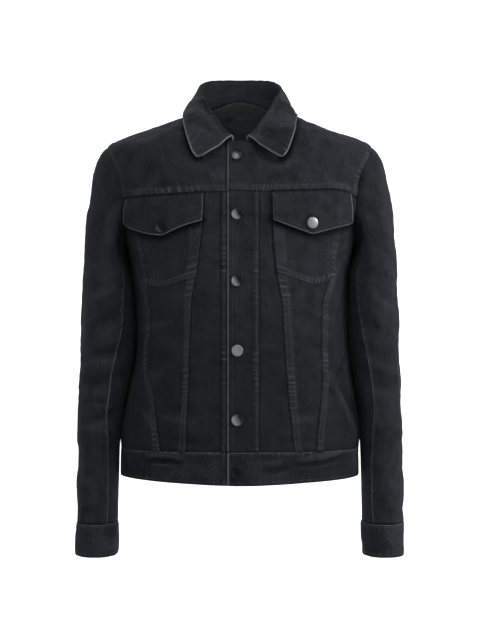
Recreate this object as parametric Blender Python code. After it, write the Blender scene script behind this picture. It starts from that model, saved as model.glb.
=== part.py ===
"""Denim jacket, filled out and hollow, with no wearer: the cut pieces as thin walls, sewn edge to edge.

Metres. +Z is up, the front faces -Y and the wearer's left is +X. The origin is the middle of the neck
base, at the height of the shoulders' inner ends, where the wearer carries the jacket.

The body is one surface, read from the rings in BODY, at (angle, level): the angle turns from the front
centre (0) through the wearer's left side (90 degrees) to the back centre (180), and the level runs from
the hem (0) to the neck (12). Each panel is a patch of that surface between its seams, with a wall's depth.
"""

import math

import bpy
import numpy as np

# Cloth
SINGLE = 0.0014  # one layer of denim with its turned seam allowance
DOUBLE = 0.0022  # two layers: front bands, waistband, cuffs and collar
GAP = 0.0003  # between neighbouring pieces

# Front fastening: the left front laps over the right one
LAP = 0.018  # how far each front reaches past the centre
BAND_SEAM = 0.027  # from the centre to the seam of the button band
OVER = 0.0009  # the left front stands proud of the body surface
UNDER = 0.0015  # the right front dips below it
# From the centre: between these, each comes back to the surface
OVER_EASES, UNDER_EASES = (0.027, 0.034), (0.020, 0.0265)
BAND_OVER, BAND_UNDER = 0.0003, 0.0002  # the waistband's ends stand that much further off
BAND_PROUD = 0.0004  # the rest of the waistband

# Levels of the body surface that seams lie on
BAND_TOP, UNDERARM, NECK = 1.0, 7.0, 12.0

# Rows of small faces along and across each panel
BODY_ROWS = 14
YOKE_ROWS = 5
POCKET_ROW = 9  # the body row that follows the foot of the pocket
POCKET_BEND_ROWS = 3.0  # how far the bend at the pocket's point spreads
CENTRE_COLUMNS = 3
MID_COLUMNS = 6
POCKET_TIP_COLUMN = 4
YOKE_SIDE_COLUMNS = 2
ARM_COLUMNS = 5
SHOULDER_COLUMNS = 4
BACK_CENTRE_COLUMNS = 6  # on each side of the centre
BACK_YOKE_SIDE_COLUMNS = 3
CAP_ROWS = 6
SLEEVE_ROWS = 12
CUFF_ROWS = 2
WAISTBAND_ROWS = 2
WAISTBAND_COLUMNS = 52


def table(columns, *rows):
    """Named columns of numbers, a row for each section."""
    values = np.array(rows, float)
    return {name: values[:, i] for i, name in enumerate(columns.split())}


BODY = table(
    "level half_width front back squareness z_side z_front z_back middle",
    (0, 0.1840, 0.1120, 0.0990, 2.5, -0.5525, -0.5600, -0.5560, 0.0000),
    (1, 0.1835, 0.1140, 0.1000, 2.5, -0.5110, -0.5110, -0.5110, 0.0000),
    (2, 0.1830, 0.1165, 0.1020, 2.5, -0.4800, -0.4800, -0.4800, 0.0005),
    (3, 0.1720, 0.1150, 0.0990, 2.5, -0.4200, -0.4200, -0.4200, 0.0025),
    (4, 0.1625, 0.1130, 0.0950, 2.5, -0.3600, -0.3600, -0.3600, 0.0035),
    (5, 0.1620, 0.1130, 0.0960, 2.5, -0.3000, -0.3000, -0.3000, 0.0020),
    (6, 0.1660, 0.1140, 0.1000, 2.5, -0.2450, -0.2450, -0.2450, 0.0000),
    (7, 0.1770, 0.1150, 0.1040, 2.4, -0.1950, -0.1980, -0.1950, 0.0000),
    (8, 0.1950, 0.1150, 0.1070, 2.4, -0.1400, -0.1620, -0.1450, 0.0000),
    (9, 0.2060, 0.1130, 0.1060, 2.4, -0.0880, -0.1300, -0.0980, 0.0000),
    (10, 0.2030, 0.1080, 0.0990, 2.3, -0.0460, -0.1010, -0.0530, 0.0000),
    (11, 0.1430, 0.0990, 0.0820, 2.1, -0.0190, -0.0730, -0.0070, 0.0000),
    (12, 0.0800, 0.0880, 0.0600, 1.9, 0.0055, -0.0460, 0.0355, 0.0000),
)

# Seams of each front: how far from the centre, at each height
FRONT_SEAMS = table(
    "height left_inner left_outer right_inner right_outer",
    (-0.511, 0.0820, 0.1140, 0.0820, 0.1200),
    (-0.456, 0.0757, 0.1193, 0.0797, 0.1270),
    (-0.417, 0.0715, 0.1240, 0.0784, 0.1330),
    (-0.391, 0.0692, 0.1243, 0.0775, 0.1414),
    (-0.367, 0.0677, 0.1238, 0.0765, 0.1417),
    (-0.332, 0.0655, 0.1224, 0.0752, 0.1360),
    (-0.284, 0.0623, 0.1245, 0.0730, 0.1388),
    (-0.245, 0.0550, 0.1366, 0.0660, 0.1434),
    (-0.206, 0.0510, 0.1383, 0.0605, 0.1480),
    (-0.170, 0.0490, 0.1440, 0.0563, 0.1545),
    (-0.120, 0.0490, 0.1470, 0.0550, 0.1560),
)
FRONT_YOKE_SEAM = table(
    "reach left_height right_height",
    (-0.018, -0.1205, -0.1225),
    (0.045, -0.1222, -0.1232),
    (0.100, -0.1200, -0.1258),
    (0.160, -0.1196, -0.1280),
    (0.185, -0.1270, -0.1290),
)
BACK_SEAMS = table(
    "height reach",
    (-0.511, 0.0480),
    (-0.400, 0.0560),
    (-0.300, 0.0650),
    (-0.200, 0.0760),
    (-0.085, 0.0880),
)
BACK_YOKE_HEIGHT = -0.088
LEVEL_HEIGHT = 0.055  # of one level of the body near the pockets

# Pocket feet: height at the inner seam, the point and the outer seam
POCKET_FOOT = table(
    "side inner point outer",
    (1, -0.2420, -0.2615, -0.2525),
    (-1, -0.2480, -0.2650, -0.2590),
)
# Flap corners: how far from the centre, and the height
FLAPS = table(
    "side top_inner top_outer foot_inner inner_height point point_height foot_outer outer_height bow_inner bow_outer",
    (1, 0.0480, 0.1650, 0.0490, -0.1655, 0.1055, -0.1855, 0.1665, -0.1665, 0.0, 0.0),
    (-1, 0.0545, 0.1705, 0.0560, -0.1665, 0.1130, -0.1872, 0.1715, -0.1680, -0.0025, 0.0040),
)
FLAP_COLUMNS, FLAP_ROWS = 8, 4
FLAP_LIFT_TOP, FLAP_LIFT_FOOT = 0.0010, 0.0052
PATCH_THICK = 0.0009

# Armhole: an egg round the side, in (angle, level)
ARMHOLE_MIDDLE, ARMHOLE_HALF = 8.5, 1.5
ARMHOLE_FRONT, ARMHOLE_BACK = math.radians(20), math.radians(21)

# Sleeve rings below the cap: distances from the body's middle (inner, outer) and from its plane (front, back)
SLEEVE = table(
    "height inner outer front back",
    (-0.262, 0.1656, 0.2442, -0.0620, 0.0680),
    (-0.300, 0.1630, 0.2465, -0.0595, 0.0655),
    (-0.345, 0.1633, 0.2482, -0.0570, 0.0610),
    (-0.408, 0.1712, 0.2500, -0.0560, 0.0520),
    (-0.450, 0.1797, 0.2510, -0.0560, 0.0470),
    (-0.486, 0.1848, 0.2515, -0.0565, 0.0430),
    (-0.560, 0.1880, 0.2525, -0.0575, 0.0360),
    (-0.6262, 0.1892, 0.2530, -0.0580, 0.0305),
    (-0.6750, 0.1898, 0.2532, -0.0585, 0.0285),
)
SLEEVE_SQUARENESS = 2.15
CUFF_TOP = -0.6262
CUFF_PROUD = 0.0008
# Front seam of the sleeve: its angle round the ring, from the outer side through the front
SLEEVE_FRONT_SEAM = table(
    "height degrees",
    (-0.262, 133),
    (-0.331, 120),
    (-0.384, 109),
    (-0.448, 110),
    (-0.505, 123),
    (-0.6750, 123),
)
SLEEVE_BACK_SEAM = 235.0  # degrees

# Collar, from its front end round to the back centre: the fold as a polar angle, radius and height,
# then the leaf's edge as seen on the body, with how far it stands off
COLLAR = table(
    "degrees fold_radius fold_height edge_x edge_y edge_z",
    (6.5, 0.0926, -0.0385, 0.0630, -0.1090, -0.0735),
    (13.7, 0.0823, -0.0298, 0.0700, -0.1060, -0.0640),
    (25, 0.0717, -0.0127, 0.0775, -0.0960, -0.0450),
    (42, 0.0620, 0.0050, 0.0840, -0.0720, -0.0220),
    (60, 0.0580, 0.0225, 0.0865, -0.0420, -0.0040),
    (90, 0.0600, 0.0400, 0.0862, 0.0050, 0.0090),
    (112, 0.0680, 0.0540, 0.0822, 0.0390, 0.0110),
    (136, 0.0700, 0.0670, 0.0630, 0.0710, 0.0130),
    (158, 0.0680, 0.0705, 0.0340, 0.0860, 0.0150),
    (180, 0.0665, 0.0712, 0.0000, 0.0900, 0.0155),
)
COLLAR_STATIONS = 14  # on each side
SEAT_GAP = 0.0006  # between the neck's edge and the collar's foot
ROLL = 0.005  # size of the soft roll at the fold
LEAF_BULGE = 0.004
END_BOW = 0.0045  # how far the leaf's front end curves out between the fold and its point

BUTTON_X = -0.0045
BUTTON_HEIGHTS = (-0.0690, -0.1570, -0.2556, -0.3591, -0.4619, -0.5396)
# Buttons turned on a lathe: radius and height above the cloth
BUTTON_PROFILE = table(
    "radius height",
    (0.0028, 0.0000),
    (0.0028, 0.0012),
    (0.0074, 0.0016),
    (0.0085, 0.0028),
    (0.0078, 0.0041),
    (0.0050, 0.0046),
)
BUTTON_SIDES = 14
FLAP_BUTTONS = table("side reach height", (1, 0.1050, -0.1690), (-1, 0.1135, -0.1745))

# Large folds: a soft ridge (lift above 0) or trough along a line on the body
FOLDS = table(
    "x1 y1 z1 x2 y2 z2 lift width",
    (0.1340, -0.0850, -0.4080, 0.1730, -0.0560, -0.4850, 0.0060, 0.012),
    (0.1500, -0.0720, -0.3850, 0.1780, -0.0400, -0.4500, -0.0070, 0.013),
    (-0.1480, -0.0700, -0.4000, -0.1700, -0.0500, -0.4700, 0.0040, 0.014),
    (-0.1250, -0.0950, -0.4900, -0.0600, -0.1120, -0.4960, -0.0022, 0.010),
    (0.0900, -0.1080, -0.4960, 0.1500, -0.0760, -0.4850, -0.0022, 0.010),
    (0.0700, 0.0930, -0.4700, 0.1450, 0.0650, -0.4550, 0.0035, 0.014),
    (-0.1450, 0.0650, -0.4600, -0.0500, 0.0960, -0.4720, 0.0035, 0.014),
    (-0.1300, 0.0800, -0.4000, -0.0400, 0.0940, -0.4150, -0.0025, 0.014),
    (0.2000, -0.0580, -0.3800, 0.2450, -0.0250, -0.3720, -0.0025, 0.009),
    (-0.2450, -0.0250, -0.3860, -0.2000, -0.0580, -0.3940, -0.0025, 0.009),
    (0.2100, -0.0570, -0.5500, 0.2480, -0.0300, -0.5580, 0.0020, 0.010),
)


def smooth(keys, values, at):
    """The values between the keys, on a curve through them with no corners."""
    slopes = np.gradient(values, keys)
    at = np.clip(at, keys[0], keys[-1])
    row = np.clip(np.searchsorted(keys, at) - 1, 0, len(keys) - 2)
    span = keys[row + 1] - keys[row]
    t = (at - keys[row]) / span
    start = (2 * t**3 - 3 * t**2 + 1) * values[row] + (t**3 - 2 * t**2 + t) * span * slopes[row]
    return start + (3 * t**2 - 2 * t**3) * values[row + 1] + (t**3 - t**2) * span * slopes[row + 1]


def unit(vectors):
    return vectors / np.maximum(np.linalg.norm(vectors, axis=-1, keepdims=True), 1e-12)


def ease(t):
    """0 to 1 with level ends."""
    t = np.clip(t, 0, 1)
    return t * t * (3 - 2 * t)


def body(angle, level):
    """A point of the body surface."""
    angle, level = np.broadcast_arrays(np.asarray(angle, float), np.asarray(level, float))
    ring = {name: smooth(BODY["level"], values, level) for name, values in BODY.items()}
    sine, cosine = np.sin(angle), np.cos(angle)
    depth = np.where(cosine > 0, ring["front"], ring["back"])
    power = ring["squareness"]
    reach = (np.abs(sine / ring["half_width"]) ** power + np.abs(cosine / depth) ** power) ** (-1 / power)
    end = np.where(cosine > 0, ring["z_front"], ring["z_back"])
    height = ring["z_side"] + (end - ring["z_side"]) * cosine**2
    return np.stack([ring["middle"] + reach * sine, -reach * cosine, height], -1)


def body_normal(angle, level):
    step = 1e-4
    across = body(angle + step, level) - body(angle - step, level)
    up = body(angle, level + step) - body(angle, level - step)
    return unit(np.cross(across, up))


def fold_lift(points):
    """How far the large folds push the cloth out at these points."""
    lift = np.zeros(points.shape[:-1])
    for i in range(len(FOLDS["lift"])):
        start = np.array([FOLDS[name][i] for name in ("x1", "y1", "z1")])
        end = np.array([FOLDS[name][i] for name in ("x2", "y2", "z2")])
        run = end - start
        t = np.clip((points - start) @ run / (run @ run), 0, 1)
        away = np.linalg.norm(points - start - t[..., None] * run, axis=-1)
        taper = 0.35 + 0.65 * np.sin(math.pi * np.clip(t, 0, 1))
        lift += FOLDS["lift"][i] * taper * np.exp(-((away / FOLDS["width"][i]) ** 2))
    return lift


def body_place(x, height, facing=1):
    """The (angle, level) seen at x and a height, from the front (facing 1) or the back (-1)."""
    x, height = np.broadcast_arrays(np.asarray(x, float), np.asarray(height, float))
    side_height = BODY["z_front"] if facing > 0 else BODY["z_back"]
    level = np.interp(height, side_height, BODY["level"])
    angle = np.arctan2(x, 0.1 * facing)
    step = 1e-4
    for _ in range(40):
        here = body(angle, level)
        by_angle = (body(angle + step, level) - here)[..., [0, 2]] / step
        by_level = (body(angle, level + step) - here)[..., [0, 2]] / step
        miss = np.stack([x, height], -1) - here[..., [0, 2]]
        area = by_angle[..., 0] * by_level[..., 1] - by_angle[..., 1] * by_level[..., 0]
        turn = (miss[..., 0] * by_level[..., 1] - miss[..., 1] * by_level[..., 0]) / area
        rise = (by_angle[..., 0] * miss[..., 1] - by_angle[..., 1] * miss[..., 0]) / area
        angle = angle + np.clip(turn, -0.2, 0.2)
        level = np.clip(level + np.clip(rise, -0.5, 0.5), 0, 12 - 2 * step)
    return np.stack([angle, level], -1)


def front_lap(x, side):
    """How far a front stands off the body surface near the centre: over on the left, under on the right."""
    reach = side * x
    proud, (near, far) = (OVER, OVER_EASES) if side > 0 else (-UNDER, UNDER_EASES)
    return proud * ease((far - reach) / (far - near))


def patch(bottom, top, start, end):
    """A grid of places inside four edges: rows run from bottom to top, columns from start to end."""
    rows, columns = len(start), len(bottom)
    t = np.linspace(0, 1, rows)[:, None, None]
    s = np.linspace(0, 1, columns)[None, :, None]
    ruled = (1 - t) * bottom[None] + t * top[None] + (1 - s) * start[:, None] + s * end[:, None]
    corners = (1 - t) * ((1 - s) * bottom[0] + s * bottom[-1]) + t * ((1 - s) * top[0] + s * top[-1])
    return ruled - corners


def along(first, last, count):
    """Places from one to another in even steps."""
    t = np.linspace(0, 1, count + 1)[:, None]
    return (1 - t) * np.asarray(first, float) + t * np.asarray(last, float)


def drawn_back(outer, through, closed=False):
    """Outer points whose four edges are drawn back by half the gap between pieces."""
    outer = outer.copy()
    edges = [(np.s_[0], np.s_[1]), (np.s_[-1], np.s_[-2])]
    if not closed:
        edges += [(np.s_[:, 0], np.s_[:, 1]), (np.s_[:, -1], np.s_[:, -2])]
    shifts = []
    for edge, inside in edges:
        line = outer[edge]
        run = np.roll(line, -1, 0) - np.roll(line, 1, 0) if closed else np.gradient(line, axis=0)
        away = unit(np.cross(run, through[edge]))
        inward = outer[inside] - line
        away *= np.sign(np.sum(away * inward, -1, keepdims=True))
        shifts.append((edge, away * GAP / 2))
    for edge, shift in shifts:
        outer[edge] += shift
    return outer


def solid(name, outer, through, colour, closed=False):
    """One closed wall: outer points, the same points carried through its depth, and its rims."""
    outer = drawn_back(outer, through, closed)
    inner = outer + through
    rows, columns = outer.shape[:2]
    points = np.concatenate([outer.reshape(-1, 3), inner.reshape(-1, 3)])
    at = np.arange(rows * columns).reshape(rows, columns)
    if closed:
        at = np.concatenate([at, at[:, :1]], 1)
    behind = at + rows * columns
    faces = []
    for i in range(rows - 1):
        for j in range(at.shape[1] - 1):
            faces.append((at[i, j], at[i, j + 1], at[i + 1, j + 1], at[i + 1, j]))
            faces.append((behind[i, j], behind[i + 1, j], behind[i + 1, j + 1], behind[i, j + 1]))
    rims = [(at[0], behind[0], False), (at[-1], behind[-1], True)]
    if not closed:
        rims += [(at[:, 0], behind[:, 0], True), (at[:, -1], behind[:, -1], False)]
    # Pieces that meet split their rims alike, from the outer corner that lies higher and further out
    rank = points @ np.array([0, 0.4, 1.0]) + 0.7 * np.abs(points[:, 0])
    for near, far, turned in rims:
        for a, b, c, d in zip(near[:-1], far[:-1], far[1:], near[1:]):
            split = [(a, b, c), (a, c, d)] if rank[a] > rank[d] else [(a, b, d), (b, c, d)]
            faces += [face[::-1] if turned else face for face in split]
    return mesh_object(name, points, faces, colour)


def mesh_object(name, points, faces, colour):
    """The object, with its faces pointing out."""
    corners = [points[list(face)] for face in faces]
    volume = sum(np.dot(c[0], np.cross(c[k], c[k + 1])) for c in corners for k in range(1, len(c) - 1))
    if volume < 0:
        faces = [face[::-1] for face in faces]
    mesh = bpy.data.meshes.new(name)
    mesh.from_pydata([tuple(map(float, p)) for p in points], [], [tuple(map(int, f)) for f in faces])
    mesh.shade_smooth()
    mesh.set_sharp_from_angle(angle=math.radians(40))
    mesh.materials.append(material(*colour))
    thing = bpy.data.objects.new(name, mesh)
    bpy.context.scene.collection.objects.link(thing)
    return thing


DENIM = ("black_denim", (0.016, 0.017, 0.019), 0.9, 0.0)
DENIM_INSIDE = ("black_denim_double", (0.014, 0.015, 0.017), 0.9, 0.0)
METAL = ("gunmetal", (0.17, 0.17, 0.18), 0.38, 1.0)


def material(name, colour, roughness, metallic):
    found = bpy.data.materials.get(name)
    if found:
        return found
    made = bpy.data.materials.new(name)
    made.use_nodes = True
    shader = made.node_tree.nodes["Principled BSDF"]
    shader.inputs["Base Color"].default_value = (*colour, 1)
    shader.inputs["Roughness"].default_value = roughness
    shader.inputs["Metallic"].default_value = metallic
    return made


def body_wall(places, thick, lap_side=0):
    """Outer points and depth of a patch of the body surface; lap_side adds a front's lap."""
    points = body(places[..., 0], places[..., 1])
    normal = body_normal(places[..., 0], places[..., 1])
    lift = fold_lift(points)
    if lap_side:
        lift = lift + front_lap(points[..., 0], lap_side)
    return points + normal * lift[..., None], -normal * thick


# Armhole and sleeve


def armhole_place(turn):
    """The (angle, level) on the left armhole at a turn: 0 at the shoulder tip, 90 degrees in front."""
    swing = np.where(np.sin(turn) > 0, ARMHOLE_FRONT, ARMHOLE_BACK)
    level = ARMHOLE_MIDDLE + ARMHOLE_HALF * np.cos(turn)
    return np.stack([math.pi / 2 - swing * np.sin(turn), level], -1)


def armhole_turns():
    """Turns of the points round the armhole, which the panels and the sleeve share."""
    turns = np.linspace(0.3, math.pi, 400)
    heights = body(*armhole_place(turns).T)[:, 2]
    front = np.interp(-FRONT_YOKE_SEAM["left_height"][-1], -heights, turns)
    back_heights = body(*armhole_place(-turns).T)[:, 2]
    back = 2 * math.pi - np.interp(-BACK_YOKE_HEIGHT, -back_heights, turns)
    stretches = [
        np.linspace(0, front, YOKE_ROWS + 1),
        np.linspace(front, math.pi, ARM_COLUMNS + 1)[1:],
        np.linspace(math.pi, back, ARM_COLUMNS + 1)[1:],
        np.linspace(back, 2 * math.pi, YOKE_ROWS + 1)[1:],
    ]
    return np.concatenate(stretches)


TURNS = armhole_turns()
FRONT_YOKE_TURN = YOKE_ROWS  # the turn where the front yoke's seam meets the armhole
UNDERARM_TURN = YOKE_ROWS + ARM_COLUMNS
BACK_YOKE_TURN = UNDERARM_TURN + ARM_COLUMNS
SLEEVE_FRONT_TURN = UNDERARM_TURN - 1


def mirrored(places, side):
    """Places of the left side carried to the given side."""
    return places * np.array([side, 1.0])


def sleeve_start(side):
    """The armhole's points, the way the sleeve leaves it, and the wall's depth, which both sides share."""
    places = mirrored(armhole_place(TURNS), side)
    points = body(places[:, 0], places[:, 1])
    outward = np.stack([0.90 + 0.05 * np.cos(TURNS), -0.5 * np.sin(TURNS), -0.43 - 0.02 * np.cos(TURNS)], -1)
    outward = unit(outward * np.array([side, 1, 1]))
    run = np.gradient(points, axis=0)
    run[0] = run[-1] = points[1] - points[-2]
    sleeve_normal = unit(np.cross(run, outward)) * side
    seam_normal = sleeve_normal + body_normal(places[:, 0], places[:, 1])
    open_angle = np.maximum(np.linalg.norm(seam_normal, axis=-1, keepdims=True) / 2, 0.62)
    return points, outward, -unit(seam_normal) / open_angle


def sleeve_ring(degrees, height, side, proud=0.0):
    """Points round the sleeve at a height, from the outer side (0) through the front (90)."""
    inner = smooth(SLEEVE["height"][::-1], SLEEVE["inner"][::-1], height) - proud
    outer = smooth(SLEEVE["height"][::-1], SLEEVE["outer"][::-1], height) + proud
    front = smooth(SLEEVE["height"][::-1], SLEEVE["front"][::-1], height) - proud
    back = smooth(SLEEVE["height"][::-1], SLEEVE["back"][::-1], height) + proud
    body_level = np.interp(height, BODY["z_side"], BODY["level"])
    middle = smooth(BODY["level"], BODY["middle"], body_level)
    turn = np.radians(degrees)
    power = SLEEVE_SQUARENESS
    reach = (np.abs(np.cos(turn)) ** power + np.abs(np.sin(turn)) ** power) ** (-1 / power)
    x = (inner + outer) / 2 + (outer - inner) / 2 * reach * np.cos(turn)
    y = (front + back) / 2 - (back - front) / 2 * reach * np.sin(turn)
    # The sleeve's inner side follows the body, its outer side stays
    shift = middle * (0.5 - 0.5 * np.cos(turn))
    return np.stack([side * x + shift, y, np.broadcast_to(height, x.shape)], -1)


def sleeve_degrees(height):
    """Angles of the sleeve's columns round the ring at a height, one for each turn of the armhole."""
    seam = smooth(SLEEVE_FRONT_SEAM["height"][::-1], SLEEVE_FRONT_SEAM["degrees"][::-1], height)
    last = len(TURNS) - 1
    upper_columns = last - BACK_YOKE_TURN + SLEEVE_FRONT_TURN
    upper = np.linspace(SLEEVE_BACK_SEAM - 360, seam, upper_columns + 1)
    under = np.linspace(seam, SLEEVE_BACK_SEAM, BACK_YOKE_TURN - SLEEVE_FRONT_TURN + 1)
    before = last - BACK_YOKE_TURN
    return np.concatenate([upper[before:], under[1:], upper[1 : before + 1] + 360])


def sleeve_wall(side):
    """Outer points and depth of a sleeve: rows from the armhole to the cuff, a column for each turn."""
    points, outward, seam_depth = sleeve_start(side)
    first_height = SLEEVE["height"][0]
    ring = sleeve_ring(sleeve_degrees(first_height), first_height, side)
    down = np.linalg.norm(ring - points, axis=-1, keepdims=True)
    lean_out = (0.010 + 0.026 * (0.5 + 0.5 * np.cos(TURNS)))[:, None]
    control = [points, points + outward * lean_out, ring + np.array([0, 0, 0.42]) * down, ring]
    rows = []
    for t in np.linspace(0, 1, CAP_ROWS + 1):
        shares = ((1 - t) ** 3, 3 * t * (1 - t) ** 2, 3 * t * t * (1 - t), t**3)
        rows.append(sum(share * c for share, c in zip(shares, control)))
    for height in np.linspace(first_height, CUFF_TOP, SLEEVE_ROWS + 1)[1:]:
        rows.append(sleeve_ring(sleeve_degrees(height), height, side))
    grid = np.array(rows)
    normal = tube_normal(grid, side)
    grid += normal * fold_lift(grid)[..., None]
    through = -normal * SINGLE
    through[0] = seam_depth * SINGLE
    return grid, through


def tube_normal(grid, side):
    """Outward directions on a tube whose last column is its first one again."""
    around = np.empty_like(grid)
    around[:, 1:-1] = grid[:, 2:] - grid[:, :-2]
    around[:, 0] = around[:, -1] = grid[:, 1] - grid[:, -2]
    return unit(np.cross(around, np.gradient(grid, axis=0))) * side


def make_sleeve(side, word):
    grid, through = sleeve_wall(side)
    before = len(TURNS) - 1 - BACK_YOKE_TURN
    upper = np.r_[BACK_YOKE_TURN : BACK_YOKE_TURN + before, 0 : SLEEVE_FRONT_TURN + 1]
    under = np.r_[SLEEVE_FRONT_TURN : BACK_YOKE_TURN + 1]
    solid(f"sleeve_upper_{word}", grid[:, upper], through[:, upper], DENIM)
    solid(f"sleeve_under_{word}", grid[:, under], through[:, under], DENIM)

    heights = np.linspace(CUFF_TOP, SLEEVE["height"][-1], CUFF_ROWS + 1)
    cuff = np.array([sleeve_ring(sleeve_degrees(h), h, side, CUFF_PROUD) for h in heights])
    depth = -tube_normal(cuff, side) * DOUBLE
    solid(f"cuff_{word}", cuff[:, :-1], depth[:, :-1], DENIM_INSIDE, closed=True)


# Fronts


def seam_places(side, column, heights):
    """Places along one of a front's seams at these heights."""
    name = ("left_" if side > 0 else "right_") + column
    reach = smooth(FRONT_SEAMS["height"], FRONT_SEAMS[name], heights)
    return body_place(side * reach, heights)


def front_yoke_height(side, reach):
    name = "left_height" if side > 0 else "right_height"
    return smooth(FRONT_YOKE_SEAM["reach"], FRONT_YOKE_SEAM[name], reach)


def make_front(side, word):
    """The yoke, band, centre, mid and side panels of one front, and the pocket patch on it."""
    band_top = BODY["z_front"][1]
    foot = {name: POCKET_FOOT[name][0 if side > 0 else 1] for name in POCKET_FOOT}
    arm = mirrored(armhole_place(TURNS), side)

    def row_heights(reach_top, at_pocket):
        """Heights of the body rows on a seam: band top, the pocket's foot, yoke seam."""
        lower = np.linspace(band_top, at_pocket, POCKET_ROW + 1)
        return np.concatenate([lower, np.linspace(at_pocket, reach_top, BODY_ROWS - POCKET_ROW + 1)[1:]])

    inner_top, outer_top = (FRONT_SEAMS[f"{word}_{column}"][-1] for column in ("inner", "outer"))
    edge_heights = row_heights(front_yoke_height(side, -LAP), foot["inner"])
    band_heights = row_heights(front_yoke_height(side, BAND_SEAM), foot["inner"])
    inner = seam_places(side, "inner", row_heights(front_yoke_height(side, inner_top), foot["inner"]))
    outer = seam_places(side, "outer", row_heights(front_yoke_height(side, outer_top), foot["outer"]))
    edge = body_place(side * -LAP, edge_heights)
    band = body_place(side * BAND_SEAM, band_heights)
    side_levels = np.linspace(BAND_TOP, UNDERARM, BODY_ROWS + 1)
    side_seam = np.stack([np.full_like(side_levels, side * math.pi / 2), side_levels], -1)

    # The yoke seam, in the pieces of the panels below it
    def yoke_run(first, last, count):
        reach = np.linspace(first, last, count + 1)
        return body_place(side * reach, front_yoke_height(side, reach))

    band_x = np.array([-LAP, -0.006, 0.007, 0.020, BAND_SEAM])
    yoke_band = body_place(side * band_x, front_yoke_height(side, band_x))
    yoke_centre = yoke_run(BAND_SEAM, inner_top, CENTRE_COLUMNS)
    yoke_mid = yoke_run(inner_top, outer_top, MID_COLUMNS)
    yoke_side = along(outer[-1], arm[FRONT_YOKE_TURN], YOKE_SIDE_COLUMNS)
    yoke_centre[0], yoke_centre[-1] = yoke_band[-1], inner[-1]
    yoke_mid[0], yoke_mid[-1] = inner[-1], outer[-1]
    band[-1], edge[-1] = yoke_band[-1], yoke_band[0]

    foot_band = body_place(side * band_x, np.full_like(band_x, band_top))
    foot_centre = along(foot_band[-1], inner[0], CENTRE_COLUMNS)
    foot_mid = along(inner[0], outer[0], MID_COLUMNS)
    foot_side = along(outer[0], side_seam[0], YOKE_SIDE_COLUMNS + ARM_COLUMNS)

    grids = {
        "band": (patch(foot_band, yoke_band, edge, band), DOUBLE),
        "centre": (patch(foot_centre, yoke_centre, band, inner), SINGLE),
        "mid": (patch(foot_mid, yoke_mid, inner, outer), SINGLE),
        "side": (
            patch(
                foot_side,
                np.concatenate([yoke_side, arm[FRONT_YOKE_TURN + 1 : UNDERARM_TURN + 1]]),
                outer,
                side_seam,
            ),
            SINGLE,
        ),
    }
    # The rows of the mid panel bend down to the pocket's point
    middle = grids["mid"][0]
    rows = np.arange(BODY_ROWS + 1)[:, None]
    columns = np.arange(MID_COLUMNS + 1)[None, :]
    near_row = np.clip(1 - np.abs(rows - POCKET_ROW) / POCKET_BEND_ROWS, 0, 1)
    tent = np.where(
        columns <= POCKET_TIP_COLUMN,
        columns / POCKET_TIP_COLUMN,
        (MID_COLUMNS - columns) / (MID_COLUMNS - POCKET_TIP_COLUMN),
    )
    straight = foot["inner"] + (foot["outer"] - foot["inner"]) * POCKET_TIP_COLUMN / MID_COLUMNS
    middle[..., 1] -= near_row * tent * (straight - foot["point"]) / LEVEL_HEIGHT

    _, _, seam_depth = sleeve_start(side)
    walls = {}
    for name, (grid, thick) in grids.items():
        lap_side = side if name == "band" else 0
        walls[name] = body_wall(grid, thick, lap_side)
    walls["side"][1][-1, YOKE_SIDE_COLUMNS:] = seam_depth[FRONT_YOKE_TURN : UNDERARM_TURN + 1] * SINGLE
    solid(f"front_band_{word}", *walls["band"], DENIM_INSIDE)
    for name in ("centre", "mid", "side"):
        solid(f"front_{name}_{word}", *walls[name], DENIM)

    # Yoke: its upper edge is the neck and then the shoulder seam
    neck_band = np.array([math.atan2(x, BODY["front"][-1]) for x in band_x]) * side
    neck_columns = CENTRE_COLUMNS + MID_COLUMNS + YOKE_SIDE_COLUMNS - SHOULDER_COLUMNS
    neck = np.linspace(neck_band[-1], side * math.pi / 2, neck_columns + 1)
    neck = np.concatenate([neck_band, neck[1:]])
    neck = np.stack([neck, np.full_like(neck, NECK)], -1)
    shoulder = along(neck[-1], arm[0], SHOULDER_COLUMNS)
    yoke_foot = np.concatenate([yoke_band, yoke_centre[1:], yoke_mid[1:], yoke_side[1:]])
    yoke_edge_heights = np.linspace(edge_heights[-1], BODY["z_front"][-1] - 0.001, YOKE_ROWS + 1)
    yoke_edge = body_place(side * -LAP, yoke_edge_heights)
    yoke_edge[0], yoke_edge[-1] = yoke_foot[0], neck[0]
    yoke = patch(yoke_foot, np.concatenate([neck, shoulder[1:]]), yoke_edge, arm[FRONT_YOKE_TURN::-1])
    points, depth = body_wall(yoke, SINGLE, side)
    depth[:, -1] = seam_depth[FRONT_YOKE_TURN::-1] * SINGLE
    solid(f"front_yoke_{word}", points, depth, DENIM)

    # Pocket patch: the mid panel's own points, moved out
    points, depth = walls["mid"]
    rows_on = np.s_[POCKET_ROW:BODY_ROWS]
    points, normal = points[rows_on], -unit(depth[rows_on])
    solid(f"pocket_{word}", points + normal * (GAP + PATCH_THICK), -normal * PATCH_THICK, DENIM)


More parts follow.
